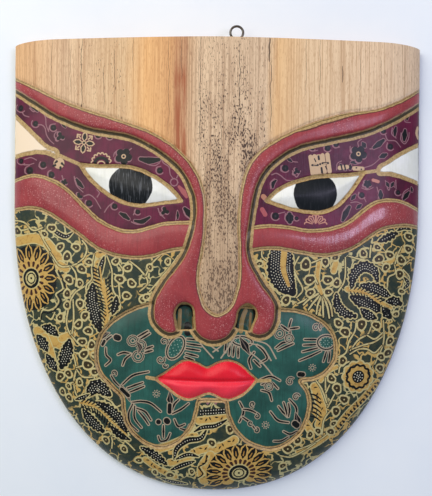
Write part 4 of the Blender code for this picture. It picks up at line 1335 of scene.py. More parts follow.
def cross_flower(p, middle):
    """Four black leaves edged with buff, and the corner of a square between each two."""
    for angle in np.arange(4) * math.pi / 2 + 0.12:
        way, side = heading(angle), np.array([-math.sin(angle), math.cos(angle)])
        corner = middle + (way + side) * 7.4
        p.stroke([corner - way * 3, corner, corner - side * 3], BUFF, 1.5, False)
        p.stroke([corner - (way + side) * 3.4, corner - (way + side) * 1.6], BUFF, 1.3)
        p.stroke([middle + way * 2.4, middle + way * 6, middle + way * 10.4], BUFF, (2.6, 6.2, 5.4, 1.4))
        p.stroke([middle + way * 3, middle + way * 6, middle + way * 9.4], BLACK, (1.4, 4.0, 3.4, 0.6))
    p.dots(middle, BUFF, 4.2)
    p.dots(middle, BLACK, 2.4)


def square_flower(p, heart):
    """A buff square of five broad strokes, with black marks from its middle."""
    way = heading(-0.14)
    side = np.array([-way[1], way[0]])
    for across in (-8.6, -4.6, -0.6, 3.4, 8.4):
        p.stroke([heart + way * across - side * 8.4, heart + way * across + side * 8.4], BUFF, 4.6)
    for share in (-10.6, 10.6):
        p.stroke([heart + side * share - way * 2, heart + side * share + way * 2], PURPLE, 1.6)
    for *ends, width in (((-8, 0), (-2.4, 0.6), 2.1), ((2.4, -0.6), (8, 0), 2.1),
                         ((-0.6, -8), (-0.6, -5), 2.1), ((0.8, 4), (0.8, 8.6), 2.1),
                         ((-5, -6), (-4, -3), 1.2), ((5, 3), (6, 6), 1.2)):
        p.stroke([heart + way * u + side * v for u, v in ends], BLACK, width)
    for across in (-5.2, 5.2):
        p.stroke([heart + way * (across - 1.6), heart + way * (across + 1.6)], BUFF, 0.8)
    p.dots(heart, BLACK, 2.2)


def half_flowers(p):
    """Half flowers: one over the left eye, and a fan of rays under the right eye."""
    x, y = UPPER_HALF_FLOWER
    scallops(p, x, y - 0.6, 8.4, 15, 1.6, BUFF, 1.3, math.pi, FULL_TURN)
    p.stroke(oval(x, y, 6.4, 5.4, 0, 8, math.pi * 1.05, math.pi * 1.95), BLACK, 3.2, False)
    p.stroke(oval(x, y + 1, 3.6, 3.0, 0, 8, math.pi, FULL_TURN), BUFF, 1.2, False)
    x, y = LOWER_HALF_FLOWER
    scallops(p, x, y + 1, 9.6, 16, 1.8, WORN_PINK, 1.2, math.pi * 1.05, math.pi * 1.95)
    for angle in np.linspace(math.pi * 1.1, math.pi * 1.9, 9):
        ends = [heading(angle) * [3.5, 3], heading(angle) * [8.6, 8.2]]
        p.stroke(np.array([x, y]) + ends, WORN_PINK, (0.8, 1.3))
    p.stroke([(x, y - 2), (x + 0.2, y - 11)], WORN_PINK, 2.0)


def lid_drawing(p):
    """The lids: berries and leaves on curly stems, flowers of four kinds and a few worn scraps."""
    p.field = "purple"
    for points in LID_STEMS:
        p.stroke(points, LILAC, (1.2, 0.9))
    for points, width in LID_LEAVES:
        lined(p, points, LILAC, (width * 0.8 + 0.6, width * 1.2 + 1.3, width * 0.8 + 0.6),
              BLACK, (width * 0.6, width * 1.2, width * 0.6))
    for x, y, radius in LID_BERRIES:
        berry(p, x, y, radius)
    for x, y, reach, lobes in LOBED_FLOWERS:
        lobed(p, x - 0.8, y + 0.6, reach + 1.0, lobes, 0.3, LILAC)
        lobed(p, x, y, reach, lobes)
    cross_flower(p, CROSS_FLOWER)
    square_flower(p, SQUARE_FLOWER)
    for x, y in RINGED_FLOWERS:
        lobed(p, x - 0.6, y + 0.8, 9.4, 5, 0.2, LILAC)
        lobed(p, x, y, 8.6, 5, 0.2)
        p.dots([(x, y)], BUFF, 4.8)
        p.dots([(x, y)], BLACK, 2.4)
    p.stroke(WORN_BAR, BUFF, 4.6)
    p.dots(WORN_BAR_DOTS, BLACK, 1.7)
    for points, colour, width in BAR_SCRAPS:
        p.stroke(points, colour, width)
    p.dots(TEMPLE_FLOWER, BUFF, 11.5)
    for x, y, angle in TEMPLE_PETALS:
        p.stroke([(x, y), (x, y) + 2.4 * heading(angle)], BLACK, (2.6, 1.6))
    half_flowers(p)
    for points, colour, width in EYE_SCRAPS:
        p.stroke(points, colour, width)
    p.ring(*EYE_CORNER_RING, 3.8, LILAC, 1.2)


# The nostrils' strokes, as points, ink and widths: black arches of painted shadow, gold in painted shade
NOSTRIL_STROKES = [
    ([(176.4, 331), (175.2, 314), (178.6, 307), (185, 304.6), (191.4, 307), (194.4, 318), (195, 330)],
     BLACK, (3, 3.4, 5, 3.4, 2.6)),
    ([(180.4, 311), (180, 320), (179.4, 333)], SHADED_GOLD, (3.4, 3.8, 4.2)),
    ([(193.4, 318), (194, 332)], DEEP_SHADED_GOLD, 2.2), ([(188, 326), (188.4, 333)], BLACK, 7.0),
    ([(237, 330), (238.4, 312), (242, 306), (248.5, 304.6), (255, 308), (256.4, 314), (252.6, 330)],
     BLACK, (2.6, 3, 6, 4.4, 3.4)),
    ([(246.4, 311), (243, 320), (241.6, 331)], SHADED_GOLD, (4.4, 4.8, 4.6)),
    ([(251.6, 314), (250.4, 331)], DEEP_SHADED_GOLD, 2.4),
]


def nostril_drawing(p):
    """The nostrils: a black horseshoe of painted shadow, painted-shade gold stripes down from it, a black
    patch below.
    """
    p.field = "nostril"
    for points, colour, width in NOSTRIL_STROKES:
        p.stroke(points, colour, width)


def group(name, inputs, outputs):
    """An empty shader group with named inputs and outputs."""
    tree = bpy.data.node_groups.new(name, "ShaderNodeTree")
    for label, kind, value in inputs:
        socket = tree.interface.new_socket(name=label, in_out="INPUT", socket_type=kind)
        if value is not None:
            socket.default_value = value
    for label, kind in outputs:
        tree.interface.new_socket(name=label, in_out="OUTPUT", socket_type=kind)
    graph = Graph(tree)
    return tree, graph, graph.node("NodeGroupInput").outputs, graph.node("NodeGroupOutput").inputs


def wood_grain_group():
    """Straight-grained light wood: broad warm and pale bands, fine lines along the grain, pores."""
    tree, g, given, out = group(
        "wood grain",
        [("Place", "NodeSocketVector", None), ("Pale", "NodeSocketColor", ink(232, 204, 168)),
         ("Warm", "NodeSocketColor", ink(222, 170, 118)), ("Line", "NodeSocketColor", ink(176, 128, 88)),
         ("Pores", "NodeSocketFloat", 0.3)],
        [("Colour", "NodeSocketColor"), ("Height", "NodeSocketFloat")])
    where = given["Place"]

    def along(*scale):
        return g.stretched(where, scale)

    broad = g.noise(along(34, 1.6, 8), 1.0, 3.0, 0.6, 0.3)
    colour = g.mix(g.step(broad, 0.40, 0.62), given["Pale"], given["Warm"])
    lines = g.noise(along(820, 6, 90), 1.0, 2.0, 0.6, 0.1)
    colour = g.mix(g.step(lines, 0.50, 0.64, 0.0, 0.55), colour, given["Line"])
    pale_threads = g.noise(along(1300, 12, 200), 1.0, 1.0, 0.5)
    colour = g.mix(g.step(pale_threads, 0.48, 0.64, 0.0, 0.6), colour, given["Pale"])
    threads = g.noise(along(2100, 26, 300), 1.0, 2.0, 0.6)
    colour = g.mix(g.step(threads, 0.46, 0.66, 0.0, 0.5), colour, given["Line"])
    dashes = g.noise(along(1500, 260, 400), 1.0, 1.0, 0.5)
    colour = g.mix(g.step(dashes, 0.56, 0.64, 0.0, 0.4), colour, given["Line"])
    clusters = g.step(g.noise(along(90, 24, 1), 1.0, 2.0, 0.6), 0.36, 0.56, 0.45, 1.0)
    pores = g.noise(along(1250, 470, 600), 1.0, 1.0, 0.5)
    strength = g.times(clusters, given["Pores"])
    colour = g.mix(g.step(strength, 0.45, 1.0, 0.0, 0.30), colour, ink(150, 116, 90))
    edge_of = g.math("MULTIPLY_ADD", strength, -0.255, 0.77)
    over = g.math("SUBTRACT", pores, edge_of)
    holes = g.times(g.step(over, -0.01, 0.03), g.step(strength, 0.0, 0.7))
    colour = g.mix(g.times(holes, 0.92), colour, ink(64, 44, 38))
    g.plug(out["Colour"], colour)
    height = g.math("SUBTRACT", g.times(threads, 0.5), g.times(holes, 0.6))
    g.plug(out["Height"], g.math("SUBTRACT", height, g.times(lines, 0.6)))
    return tree


def painted_stroke_group():
    """One tapered stroke with round ends over what lies under it.

    Its place gives the way along the stroke, the way across it and its half width at the start, in mm,
    with the half width at its end beside it; the ink's alpha holds the stroke's length. The distance
    from the stroke's spine less the half width there tells paint from ground.
    """
    tree, g, given, out = group(
        "painted stroke",
        [("Under", "NodeSocketColor", None), ("Place", "NodeSocketVector", None),
         ("End width", "NodeSocketFloat", NO_STROKE), ("Ink", "NodeSocketColor", None),
         ("Length", "NodeSocketFloat", 1.0), ("Wobble", "NodeSocketFloat", 0.0)],
        [("Colour", "NodeSocketColor"), ("Cover", "NodeSocketFloat")])
    split = g.split(given["Place"])
    share = g.math("DIVIDE", split[0], given["Length"], clamp=True)
    beyond = g.math("SUBTRACT", split[0], g.times(share, given["Length"]))
    off = g.math("SQRT", g.math("ADD", g.times(beyond, beyond), g.times(split[1], split[1])))
    wider = g.math("SUBTRACT", given["End width"], split[2])
    half = g.math("MULTIPLY_ADD", wider, share, split[2])
    outside = g.math("ADD", g.math("SUBTRACT", off, half), given["Wobble"])
    cover = g.step(outside, -0.13, 0.13, 1.0, 0.0)
    g.plug(out["Colour"], g.mix(cover, given["Under"], given["Ink"]))
    g.plug(out["Cover"], cover)
    return tree


def brushed_paint_group():
    """Thin paint brushed along the grain: two near tones and darker streaks."""
    tree, g, given, out = group(
        "brushed paint",
        [("Place", "NodeSocketVector", None), ("Tone", "NodeSocketColor", None),
         ("Second tone", "NodeSocketColor", None), ("Streaks", "NodeSocketFloat", 0.5)],
        [("Colour", "NodeSocketColor")])
    where = given["Place"]
    cloud = g.noise(where, 55.0, 3.0, 0.6)
    colour = g.mix(g.step(cloud, 0.35, 0.65), given["Tone"], given["Second tone"])
    streak = g.noise(g.stretched(where, (900, 60, 300)), 1.0, 2.0, 0.6)
    strength = g.times(g.step(streak, 0.45, 0.75), given["Streaks"])
    colour = g.mix(strength, colour, g.mix(0.55, given["Second tone"], ink(20, 12, 14)))
    g.plug(out["Colour"], colour)
    return tree


def crack_group():
    """A dark check in the wood: a wavering line across a place, between two heights on the board."""
    tree, g, given, out = group(
        "wood crack",
        [("Place", "NodeSocketVector", None), ("Across", "NodeSocketFloat", 0.0),
         ("Low", "NodeSocketFloat", 0.0), ("High", "NodeSocketFloat", 0.1),
         ("Half width", "NodeSocketFloat", 0.0004), ("Lean", "NodeSocketFloat", 0.0)],
        [("Depth", "NodeSocketFloat")])
    split = g.split(given["Place"])
    sway = g.noise(g.stretched(given["Place"], (5, 60, 5)), 1.0, 3.0, 0.7)
    leaning = g.times(g.math("SUBTRACT", split[1], given["Low"]), given["Lean"])
    wavering = g.math("MULTIPLY_ADD", sway, 0.004, -0.002)
    middle = g.math("ADD", given["Across"], g.math("ADD", leaning, wavering))
    off = g.math("ABSOLUTE", g.math("SUBTRACT", split[0], middle))
    share = g.node("ShaderNodeMapRange", {"Value": split[1], "From Min": given["Low"],
                                          "From Max": given["High"]}).outputs[0]
    bulge = g.times(share, g.math("SUBTRACT", 1.0, share))
    wide = g.times(given["Half width"], g.math("POWER", g.times(bulge, 4.0), 0.35))
    depth = g.node("ShaderNodeMapRange", {"Value": off, "From Min": 0.0, "From Max": wide,
                                          "To Min": 1.0, "To Max": 0.0}, interpolation_type="SMOOTHSTEP")
    within = g.times(g.math("GREATER_THAN", split[1], given["Low"]),
                     g.math("LESS_THAN", split[1], given["High"]))
    g.plug(out["Depth"], g.times(depth.outputs[0], within))
    return tree


def new_material(name, roughness, specular=0.5):
    """A material with its shader, and a graph to paint it with."""
    material = bpy.data.materials.new(name)
    material.use_nodes = True
    shader = material.node_tree.nodes["Principled BSDF"]
    shader.inputs["Roughness"].default_value = roughness
    shader.inputs["Specular IOR Level"].default_value = specular
    return material, Graph(material.node_tree), shader


def use(g, tree, **inputs):
    """A group placed in a material, its inputs named in words with _ for a space."""
    named = {label.replace("_", " ").capitalize(): value for label, value in inputs.items()}
    made = g.node("ShaderNodeGroup", node_tree=tree)
    for label, value in named.items():
        g.plug(made.inputs[label], value)
    return made.outputs


IRISES = on_board(read([(130, 187), (315, 193)], SUNK))
IRIS_RADIUS = 15.6  # mm
CRACKS = [  # where across the board, from and to which height below the top, half width, all in mm
    (-96, 0, 52, 0.40), (-96, 46, 53, 0.80), (-12, 0, 90, 0.26), (15.5, 2, 62, 0.40), (36.2, 0, 17, 1.0),
    (37.4, 14, 66, 0.40), (-59, 0, 22, 0.2), (-72, 8, 40, 0.25), (-80, 20, 50, 0.25), (3, 40, 120, 0.25),
    (8, 70, 150, 0.28), (62, 0, 40, 0.2), (-34, 0, 70, 0.2), (88, 18, 30, 0.5), (101, 6, 60, 0.2),
    (116, 10, 40, 0.2), (72, 0, 50, 0.2), (-25, 2, 30, 0.3), (-104, 4, 40, 0.2), (-118, 0, 34, 0.2),
]
# The broad bands of the bare wood, as the place across in mm where each begins, its tone and its lines
WOOD_BANDS = [
    (-150, (240, 190, 138), (188, 134, 86)), (-108, (240, 204, 162), (172, 128, 96)),
    (-66, (242, 206, 158), (192, 144, 100)), (-50, (254, 200, 136), (214, 152, 92)),
    (-33, (234, 178, 120), (172, 110, 70)), (-13, (238, 204, 164), (148, 110, 82)),
    (34, (238, 206, 168), (156, 116, 86)), (42, (254, 210, 152), (206, 154, 104)),
    (64, (250, 216, 172), (196, 152, 108)), (120, (246, 214, 176), (188, 146, 108)),
]
BANDED = 300  # mm that the bands spread over, half of them on either side of the middle


def bare_wood_colour(g, where, split, grain, crack):
    """The unpainted forehead: bands of warm and pale wood, a red-brown streak, cracks and dark pores."""
    across = g.times(split[0], 1 / MM)
    below_top = g.times(g.math("SUBTRACT", TOP, split[1]), 1 / MM)
    sway = g.math("MULTIPLY_ADD", g.noise(g.place((3, 14, 3)), 1.0, 2.0, 0.5), 8.0, -4.0)
    drift = g.math("ADD", across, sway)
    tones = []
    for kind in (1, 2):
        ramp = g.node("ShaderNodeValToRGB", {"Fac": g.math("MULTIPLY_ADD", drift, 1 / BANDED, 0.5)})
        for number, band in enumerate(WOOD_BANDS):
            stop = ramp.color_ramp.elements[number] if number < 2 else ramp.color_ramp.elements.new(1.0)
            stop.position = band[0] / BANDED + 0.5
            stop.color = ink(*band[kind])
        tones.append(ramp.outputs["Color"])
    centre = g.times(g.step(drift, -20.0, -8.0), g.step(drift, 42.0, 30.0))
    middle = g.times(centre, g.step(below_top, 10.0, 90.0, 0.50, 1.0))
    on_left = g.times(g.step(drift, -110.0, -96.0), g.step(drift, -52.0, -62.0, 0.0, 0.42))
    wood = use(g, grain, place=where, pale=tones[0], warm=g.mix(0.30, tones[0], tones[1]),
               line=tones[1], pores=g.math("MAXIMUM", middle, on_left))
    down_bridge = g.times(centre, g.step(below_top, 70.0, 150.0))
    colour = g.mix(g.times(down_bridge, 0.36), wood["Colour"], ink(160, 130, 98))
    wandering = g.math("MULTIPLY_ADD", sway, 0.35, across)
    ragged = g.step(g.noise(g.place((420, 24, 60)), 1.0, 3.0, 0.65), 0.32, 0.60, 0.30, 1.0)
    streak = g.times(g.step(wandering, -31.5, -28.5), g.step(wandering, -20.0, -23.0),
                     g.step(below_top, 14.0, 32.0, 0.30, 1.0), ragged)
    colour = g.mix(streak, colour, ink(172, 98, 62))
    depth = 0.0
    for place_x, high, low, half in CRACKS:
        found = use(g, crack, place=where, across=place_x * MM, low=TOP - low * MM,
                    high=TOP - high * MM, half_width=half * MM)["Depth"]
        depth = g.math("MAXIMUM", depth, found)
    colour = g.mix(g.times(depth, 0.9), colour, ink(58, 38, 28))
    return colour, g.math("SUBTRACT", wood["Height"], g.times(depth, 3.0))


def painted_face(groups):
    """The painted front: each field's paint, the drawn strokes, the outlines and the bare forehead."""
    material, g, shader = new_material("painted carved wood", 0.42, 0.3)
    forehead, front, lids, cheek_band = g.fields("fields_a")
    eyes, muzzle, lips, temples = g.fields("fields_b")
    nostrils, upper_lip, edge, tails = g.fields("fields_c")
    where = g.place()
    split = g.split(where)
    sway = g.math("MULTIPLY_ADD", g.noise(where, 170.0, 2.0, 0.5), 1.1, -0.55)
    fine = g.math("MULTIPLY_ADD", g.noise(where, 1300.0, 2.0, 0.6), 0.22, -0.11)
    sway = g.math("ADD", sway, fine)

    forehead, front, lids, cheek_band, eyes, muzzle, lips, temples, nostrils, upper_lip = [
        g.math("ADD", field, sway)
        for field in (forehead, front, lids, cheek_band, eyes, muzzle, lips, temples, nostrils, upper_lip)]

    def brushed_paint(tone, second_tone, streaks):
        return use(g, groups["paint"], place=where, tone=ink(*tone), second_tone=ink(*second_tone),
                   streaks=streaks)["Colour"]

    def lay_on(colour, field, other):
        return g.mix(g.step(field, -0.15, 0.15), colour, other)

    # Grounds
    blotch = g.noise(where, 160.0, 4.0, 0.65)
    ground = g.mix(g.step(blotch, 0.46, 0.60), ink(42, 54, 44), ink(62, 66, 46))
    bend = g.node("ShaderNodeTexNoise", {"Vector": where, "Scale": 170.0, "Detail": 1.0}).outputs["Color"]
    bent = g.node("ShaderNodeVectorMath", {0: bend, 1: (0.011, 0.011, 0.0), 2: where},
                  operation="MULTIPLY_ADD").outputs["Vector"]
    cells = g.node("ShaderNodeTexVoronoi",
                   {"Vector": g.stretched(bent, (1, 1, 0)), "Scale": 128.0, "Randomness": 0.9},
                   feature="DISTANCE_TO_EDGE", voronoi_dimensions="2D").outputs["Distance"]
    yellow = g.mix(g.step(g.noise(where, 35.0, 2.0), 0.4, 0.6), ink(204, 166, 92), ink(198, 184, 128))
    open_ground = g.step(g.noise(where, 75.0, 1.0), 0.52, 0.60, 1.0, 0.0)
    network = g.times(g.step(cells, 0.075, 0.105, 1.0, 0.0), open_ground)
    colour = g.mix(network, ground, yellow)
    colour = lay_on(colour, lids, brushed_paint((106, 20, 56), (76, 16, 42), 0.35))
    colour = lay_on(colour, muzzle, brushed_paint((46, 98, 86), (36, 78, 68), 0.4))
    # Inside the nostrils the teal is darker: painted shade in the deep notches
    inner = g.mix(g.step(g.noise(where, 400.0, 2.0), 0.4, 0.6), ink(28, 66, 60), ink(52, 60, 44))
    colour = g.mix(g.step(nostrils, -0.1, 0.2), colour, inner)

    # The drawing
    covered = 0.0
    for number in range(SLOTS):
        place = g.node("ShaderNodeAttribute", attribute_name=f"place_{number}").outputs
        paint = g.node("ShaderNodeAttribute", attribute_name=f"ink_{number}").outputs
        made = use(g, groups["stroke"], under=colour, place=place["Vector"], end_width=place["Alpha"],
                   ink=paint["Color"], length=paint["Alpha"], wobble=g.times(fine, 0.5))
        colour = made["Colour"]
        covered = g.math("MAXIMUM", covered, made["Cover"])
    in_batik = g.times(g.step(muzzle, 0.2, -0.2), g.step(lids, 0.2, -0.2))
    mottle = g.step(g.noise(where, 330.0, 3.0, 0.7), 0.50, 0.64, 0.0, 0.55)
    browner = g.node("ShaderNodeVectorMath", {0: colour, 1: (0.62, 0.46, 0.34)}, operation="MULTIPLY")
    colour = g.mix(g.times(mottle, covered, in_batik), colour, browner.outputs["Vector"])

    # The whites and the irises
    white = brushed_paint((252, 250, 242), (240, 238, 224), 0.12)
    bone = g.mix(g.step(split[0], -0.09, -0.135), white, ink(250, 226, 196))
    colour = lay_on(lay_on(colour, temples, bone), eyes, white)
    # Grey streaks along the grain on the irises, full on the left and faint on the right: a painted sheen
    streaks = g.noise(g.place((1500, 90, 300)), 1.0, 2.0, 0.6)
    black = g.mix(g.step(streaks, 0.52, 0.70, 0.0, 0.45), ink(20, 22, 25), ink(132, 134, 138))
    black = g.mix(g.step(split[0], 0.0, -0.01, 0.12, 1.0), ink(20, 22, 26), black)
    flat = g.node("ShaderNodeCombineXYZ", {0: split[0], 1: split[1]}).outputs[0]
    for x, y in IRISES:
        off = g.node("ShaderNodeVectorMath", {0: flat, 1: (x, y, 0)}, operation="DISTANCE").outputs["Value"]
        off = g.math("MULTIPLY_ADD", off, 1 / MM, sway)
        disc = g.times(g.step(off, IRIS_RADIUS + 0.25, IRIS_RADIUS - 0.25), g.step(eyes, 0.6, 1.0))
        colour = g.mix(disc, colour, black)

    # The reds
    red = brushed_paint((168, 64, 66), (154, 56, 60), 0.3)
    specks = g.times(g.step(g.noise(where, 1100.0, 2.0, 0.7), 0.56, 0.70),
                     g.step(g.noise(where, 26.0, 2.0), 0.42, 0.60, 0.2, 0.9))
    red = g.mix(specks, red, ink(214, 146, 142))
    colour = lay_on(colour, cheek_band, red)
    # One red in a lit and a shaded tone: painted light on the lower lip and painted shade on the upper lip
    low_lip = brushed_paint((255, 60, 80), (250, 54, 72), 0.08)
    top_lip = brushed_paint((244, 30, 50), (234, 28, 46), 0.08)
    colour = lay_on(colour, lips, g.mix(g.step(upper_lip, -0.2, 0.2), low_lip, top_lip))

    # Gold outlines with a dark core, along the lids, the cheek bands, the eyes, the muzzle and the lips
    gold = g.mix(g.step(g.noise(where, 700.0, 2.0), 0.4, 0.62), ink(196, 164, 110), ink(170, 138, 88))
    brown = ink(62, 36, 22)
    under_front = g.times(g.step(front, 0.3, -0.3), g.step(forehead, 0.3, -0.3))

    # The brown at the gold's edges and in its core is painted shade, as it lies in the cut lines
    def outline(colour, field, half, core, allowed):
        away = g.math("ABSOLUTE", field)
        rim = g.times(g.step(away, half + 0.5, half + 0.2), allowed)
        colour = g.mix(g.times(rim, 0.45), colour, brown)
        colour = g.mix(g.times(g.step(away, half + 0.12, half - 0.12), allowed), colour, gold)
        return g.mix(g.times(g.step(away, core + 0.2, core - 0.1), allowed), colour, brown)

    colour = outline(colour, temples, 1.5, -0.4, g.times(under_front, g.step(edge, 1.0, 2.0)))
    colour = outline(colour, eyes, 1.35, -0.4, under_front)
    colour = outline(colour, cheek_band, 1.35, 0.12, under_front)
    colour = outline(colour, muzzle, 1.45, 0.16, g.times(under_front, g.step(lips, 1.2, 0.6)))
    colour = outline(colour, lips, 1.2, -0.4, g.times(under_front, g.step(lips, 0.5, 0.1)))
    tail = g.times(g.step(tails, 1.45, 1.1), g.step(g.math("MAXIMUM", eyes, lips), 0.3, -0.3))
    colour = g.mix(g.times(tail, under_front), colour, gold)

    # The nose and brow band over all of these, then the bare forehead
    away_from_holes = g.step(nostrils, 0.2, -0.2)
    beside = g.times(g.step(front, 0.2, -0.2), g.step(front, -4.3, -3.9), away_from_holes)
    colour = lay_on(g.mix(beside, colour, gold), front, red)
    # A dark line just outside the band's edge: painted shadow of the step down from the band
    groove = g.times(g.between(front, -2.1, 0.0), away_from_holes)
    colour = g.mix(g.times(groove, 0.9), colour, ink(46, 40, 26))
    colour = g.mix(g.times(g.between(front, 0.05, 0.75, 0.2), 0.8), colour, gold)
    colour = g.mix(g.between(nostrils, -0.2, 0.75), colour, gold)
    wood, wood_height = bare_wood_colour(g, where, split, groups["grain"], groups["crack"])
    brow = g.times(forehead, -1.0)
    across = g.times(split[0], 1 / MM)
    swelling = g.times(g.step(across, 54.0, 68.0), g.step(across, 104.0, 86.0))
    brow_wide = g.math("MULTIPLY_ADD", swelling, 1.7, 2.1)
    in_brow = g.math("DIVIDE", brow, brow_wide)
    colour = g.mix(g.between(in_brow, 0.02, 1.0, 0.07), colour, gold)
    colour = g.mix(g.times(g.between(in_brow, 1.0, 1.28, 0.07), 0.75), colour, ink(58, 40, 26))
    # A dark line in the middle of the gold: painted shade in the cut line between forehead and band
    colour = g.mix(g.times(g.between(in_brow, 0.30, 0.50, 0.08), 0.7), colour, ink(64, 54, 28))
    bare = g.step(forehead, -0.1, 0.2)
    colour = g.mix(bare, colour, wood)

    # The board's very edge: pale on the left and dark on the right, a painted highlight and painted shade
    rim = g.step(g.math("ADD", edge, g.times(sway, 1.5)), 1.6, 0.5, 0.0, 0.8)
    lit_and_shaded_edge = g.mix(g.step(split[0], -0.05, 0.02), ink(216, 198, 160), ink(96, 88, 66))
    colour = g.mix(g.times(rim, g.step(forehead, 0.3, -0.3)), colour, lit_and_shaded_edge)
    g.plug(shader.inputs["Base Color"], colour)

    # A glaze on the reds, worn on the left; rougher bare wood; relief of strokes and brush
    painted = g.math("SUBTRACT", 1.0, bare)
    rough = g.math("MULTIPLY_ADD", g.noise(where, 300.0, 3.0, 0.6), 0.16, 0.30)
    glazed = g.math("MAXIMUM", g.step(cheek_band, -0.1, 0.1), g.step(front, -0.1, 0.1, 0.0, 0.25))
    glazed = g.math("MINIMUM", glazed, g.step(front, 0.1, -0.1, 0.25, 1.0))
    brushed = g.step(g.noise(g.place((1300, 110, 300)), 1.0, 2.0, 0.6), 0.35, 0.62, 0.35, 1.0)
    worn = g.step(split[0], 0.0, 0.06, 0.35, 1.0)
    g.plug(shader.inputs["Coat Weight"], g.times(glazed, painted, worn, brushed))
    shader.inputs["Coat Roughness"].default_value = 0.18
    g.plug(shader.inputs["Roughness"], g.math("MULTIPLY_ADD", bare, 0.22, rough))
    height = g.math("MULTIPLY_ADD", covered, 0.25, g.times(g.noise(where, 1800.0, 2.0), 0.25))
    height = g.math("ADD", height, g.times(g.noise(g.place((700, 30, 200)), 1.0, 2.0), 0.5))
    height = g.math("ADD", g.times(height, painted), g.times(wood_height, bare))
    bump = g.node("ShaderNodeBump", {"Strength": 0.35, "Distance": 0.0006, "Height": height})
    g.plug(shader.inputs["Normal"], bump.outputs["Normal"])
    return material


def bare_back(groups):
    """The back, edge and end grain: bare wood with shallow gouge marks, darker where it was stained."""
    material, g, shader = new_material("bare wood back", 0.6, 0.4)
    where = g.place()
    wood = use(g, groups["grain"], place=where, pale=ink(222, 190, 148), warm=ink(206, 160, 110),
               line=ink(164, 118, 78), pores=0.3)
    gouges = g.node("ShaderNodeTexVoronoi", {"Vector": g.place((85, 24, 40)), "Scale": 1.0},
                    feature="SMOOTH_F1").outputs["Distance"]
    shade = g.noise(where, 16.0, 3.0)
    colour = g.mix(g.step(shade, 0.42, 0.68, 0.0, 0.35), wood["Colour"], ink(150, 112, 78))
    colour = g.mix(g.step(gouges, 0.45, 0.85, 0.0, 0.25), colour, ink(132, 94, 64))
    split = g.split(where)
    lean = g.split(g.node("ShaderNodeNewGeometry").outputs["Normal"])
    side = g.step(g.math("ABSOLUTE", lean[2]), 0.75, 0.45)
    below = g.step(split[1], TOP - 0.001, TOP - 0.004)
    g.plug(shader.inputs["Base Color"],
           g.mix(g.times(side, below, 0.72), colour, ink(66, 40, 26)))
    height = g.math("MULTIPLY_ADD", wood["Height"], 0.3, gouges)
    bump = g.node("ShaderNodeBump", {"Strength": 0.6, "Distance": 0.0012, "Height": height})
    g.plug(shader.inputs["Normal"], bump.outputs["Normal"])
    return material


def dull_steel():
    """Browned steel wire with a little rust and dirt in its dull polish."""
    material, g, shader = new_material("dull dark steel", 0.42)
    shader.inputs["Metallic"].default_value = 1.0
    where = g.place()
    stain = g.noise(where, 700.0, 4.0, 0.65)
    colour = g.mix(g.step(stain, 0.42, 0.66), ink(104, 98, 92), ink(70, 56, 46))
    g.plug(shader.inputs["Base Color"], colour)
    g.plug(shader.inputs["Roughness"], g.step(stain, 0.35, 0.75, 0.32, 0.62))
    bump = g.node("ShaderNodeBump", {"Strength": 0.3, "Distance": 0.0002,
                                     "Height": g.noise(where, 2400.0, 2.0)})
    g.plug(shader.inputs["Normal"], bump.outputs["Normal"])
    return material


def swept_tube(name, path, radius, sides_round=20):
    """A round tube along a path that lies flat: each ring stands square to the path's run.

    A ring's points are the path's point plus the radius there times the cosine of an angle along the
    path's left hand and its sine straight up. A fan closes each end.
    """
    run = np.gradient(path, axis=0)
    run /= np.linalg.norm(run, axis=1)[:, None]
    left = np.c_[-run[:, 1], run[:, 0], np.zeros(len(run))]
    angle = np.linspace(0, FULL_TURN, sides_round, endpoint=False)
    rings = (path[:, None] + radius[:, None, None] * (np.cos(angle)[None, :, None] * left[:, None]
             + np.sin(angle)[None, :, None] * np.array([0, 0, 1.0])))
    vertices = np.vstack([rings.reshape(-1, 3), path[:1], path[-1:]])
    number = np.arange(len(path) * sides_round).reshape(len(path), sides_round)
    a, b = number[:-1], np.roll(number[:-1], -1, 1)
    d, c = number[1:], np.roll(number[1:], -1, 1)
    walls = np.stack([np.stack([a, b, c], 2), np.stack([a, c, d], 2)], 2).reshape(-1, 3)
    first, last = len(vertices) - 2, len(vertices) - 1
    start = np.c_[np.full(sides_round, first), np.roll(number[0], -1), number[0]]
    end = np.c_[np.full(sides_round, last), number[-1], np.roll(number[-1], -1)]
    made = mesh_from(name, vertices, np.vstack([walls, start, end]))
    made.data.shade_smooth()
    return made


# The screw eye's wire and thread, in metres
WIRE = 0.0017
THREAD_PITCH, THREAD_ROOT, THREAD_DEPTH = 0.0008, 0.00072, 0.00020
IN_WOOD = 0.0086  # length of the shank in the wood
POINT, BLUNT_END = 0.0022, 0.0006  # lengths over which the wire tapers to its ends
SHANK_START, NECK = 0.0004, 0.0012  # gaps before the shank and below the ring


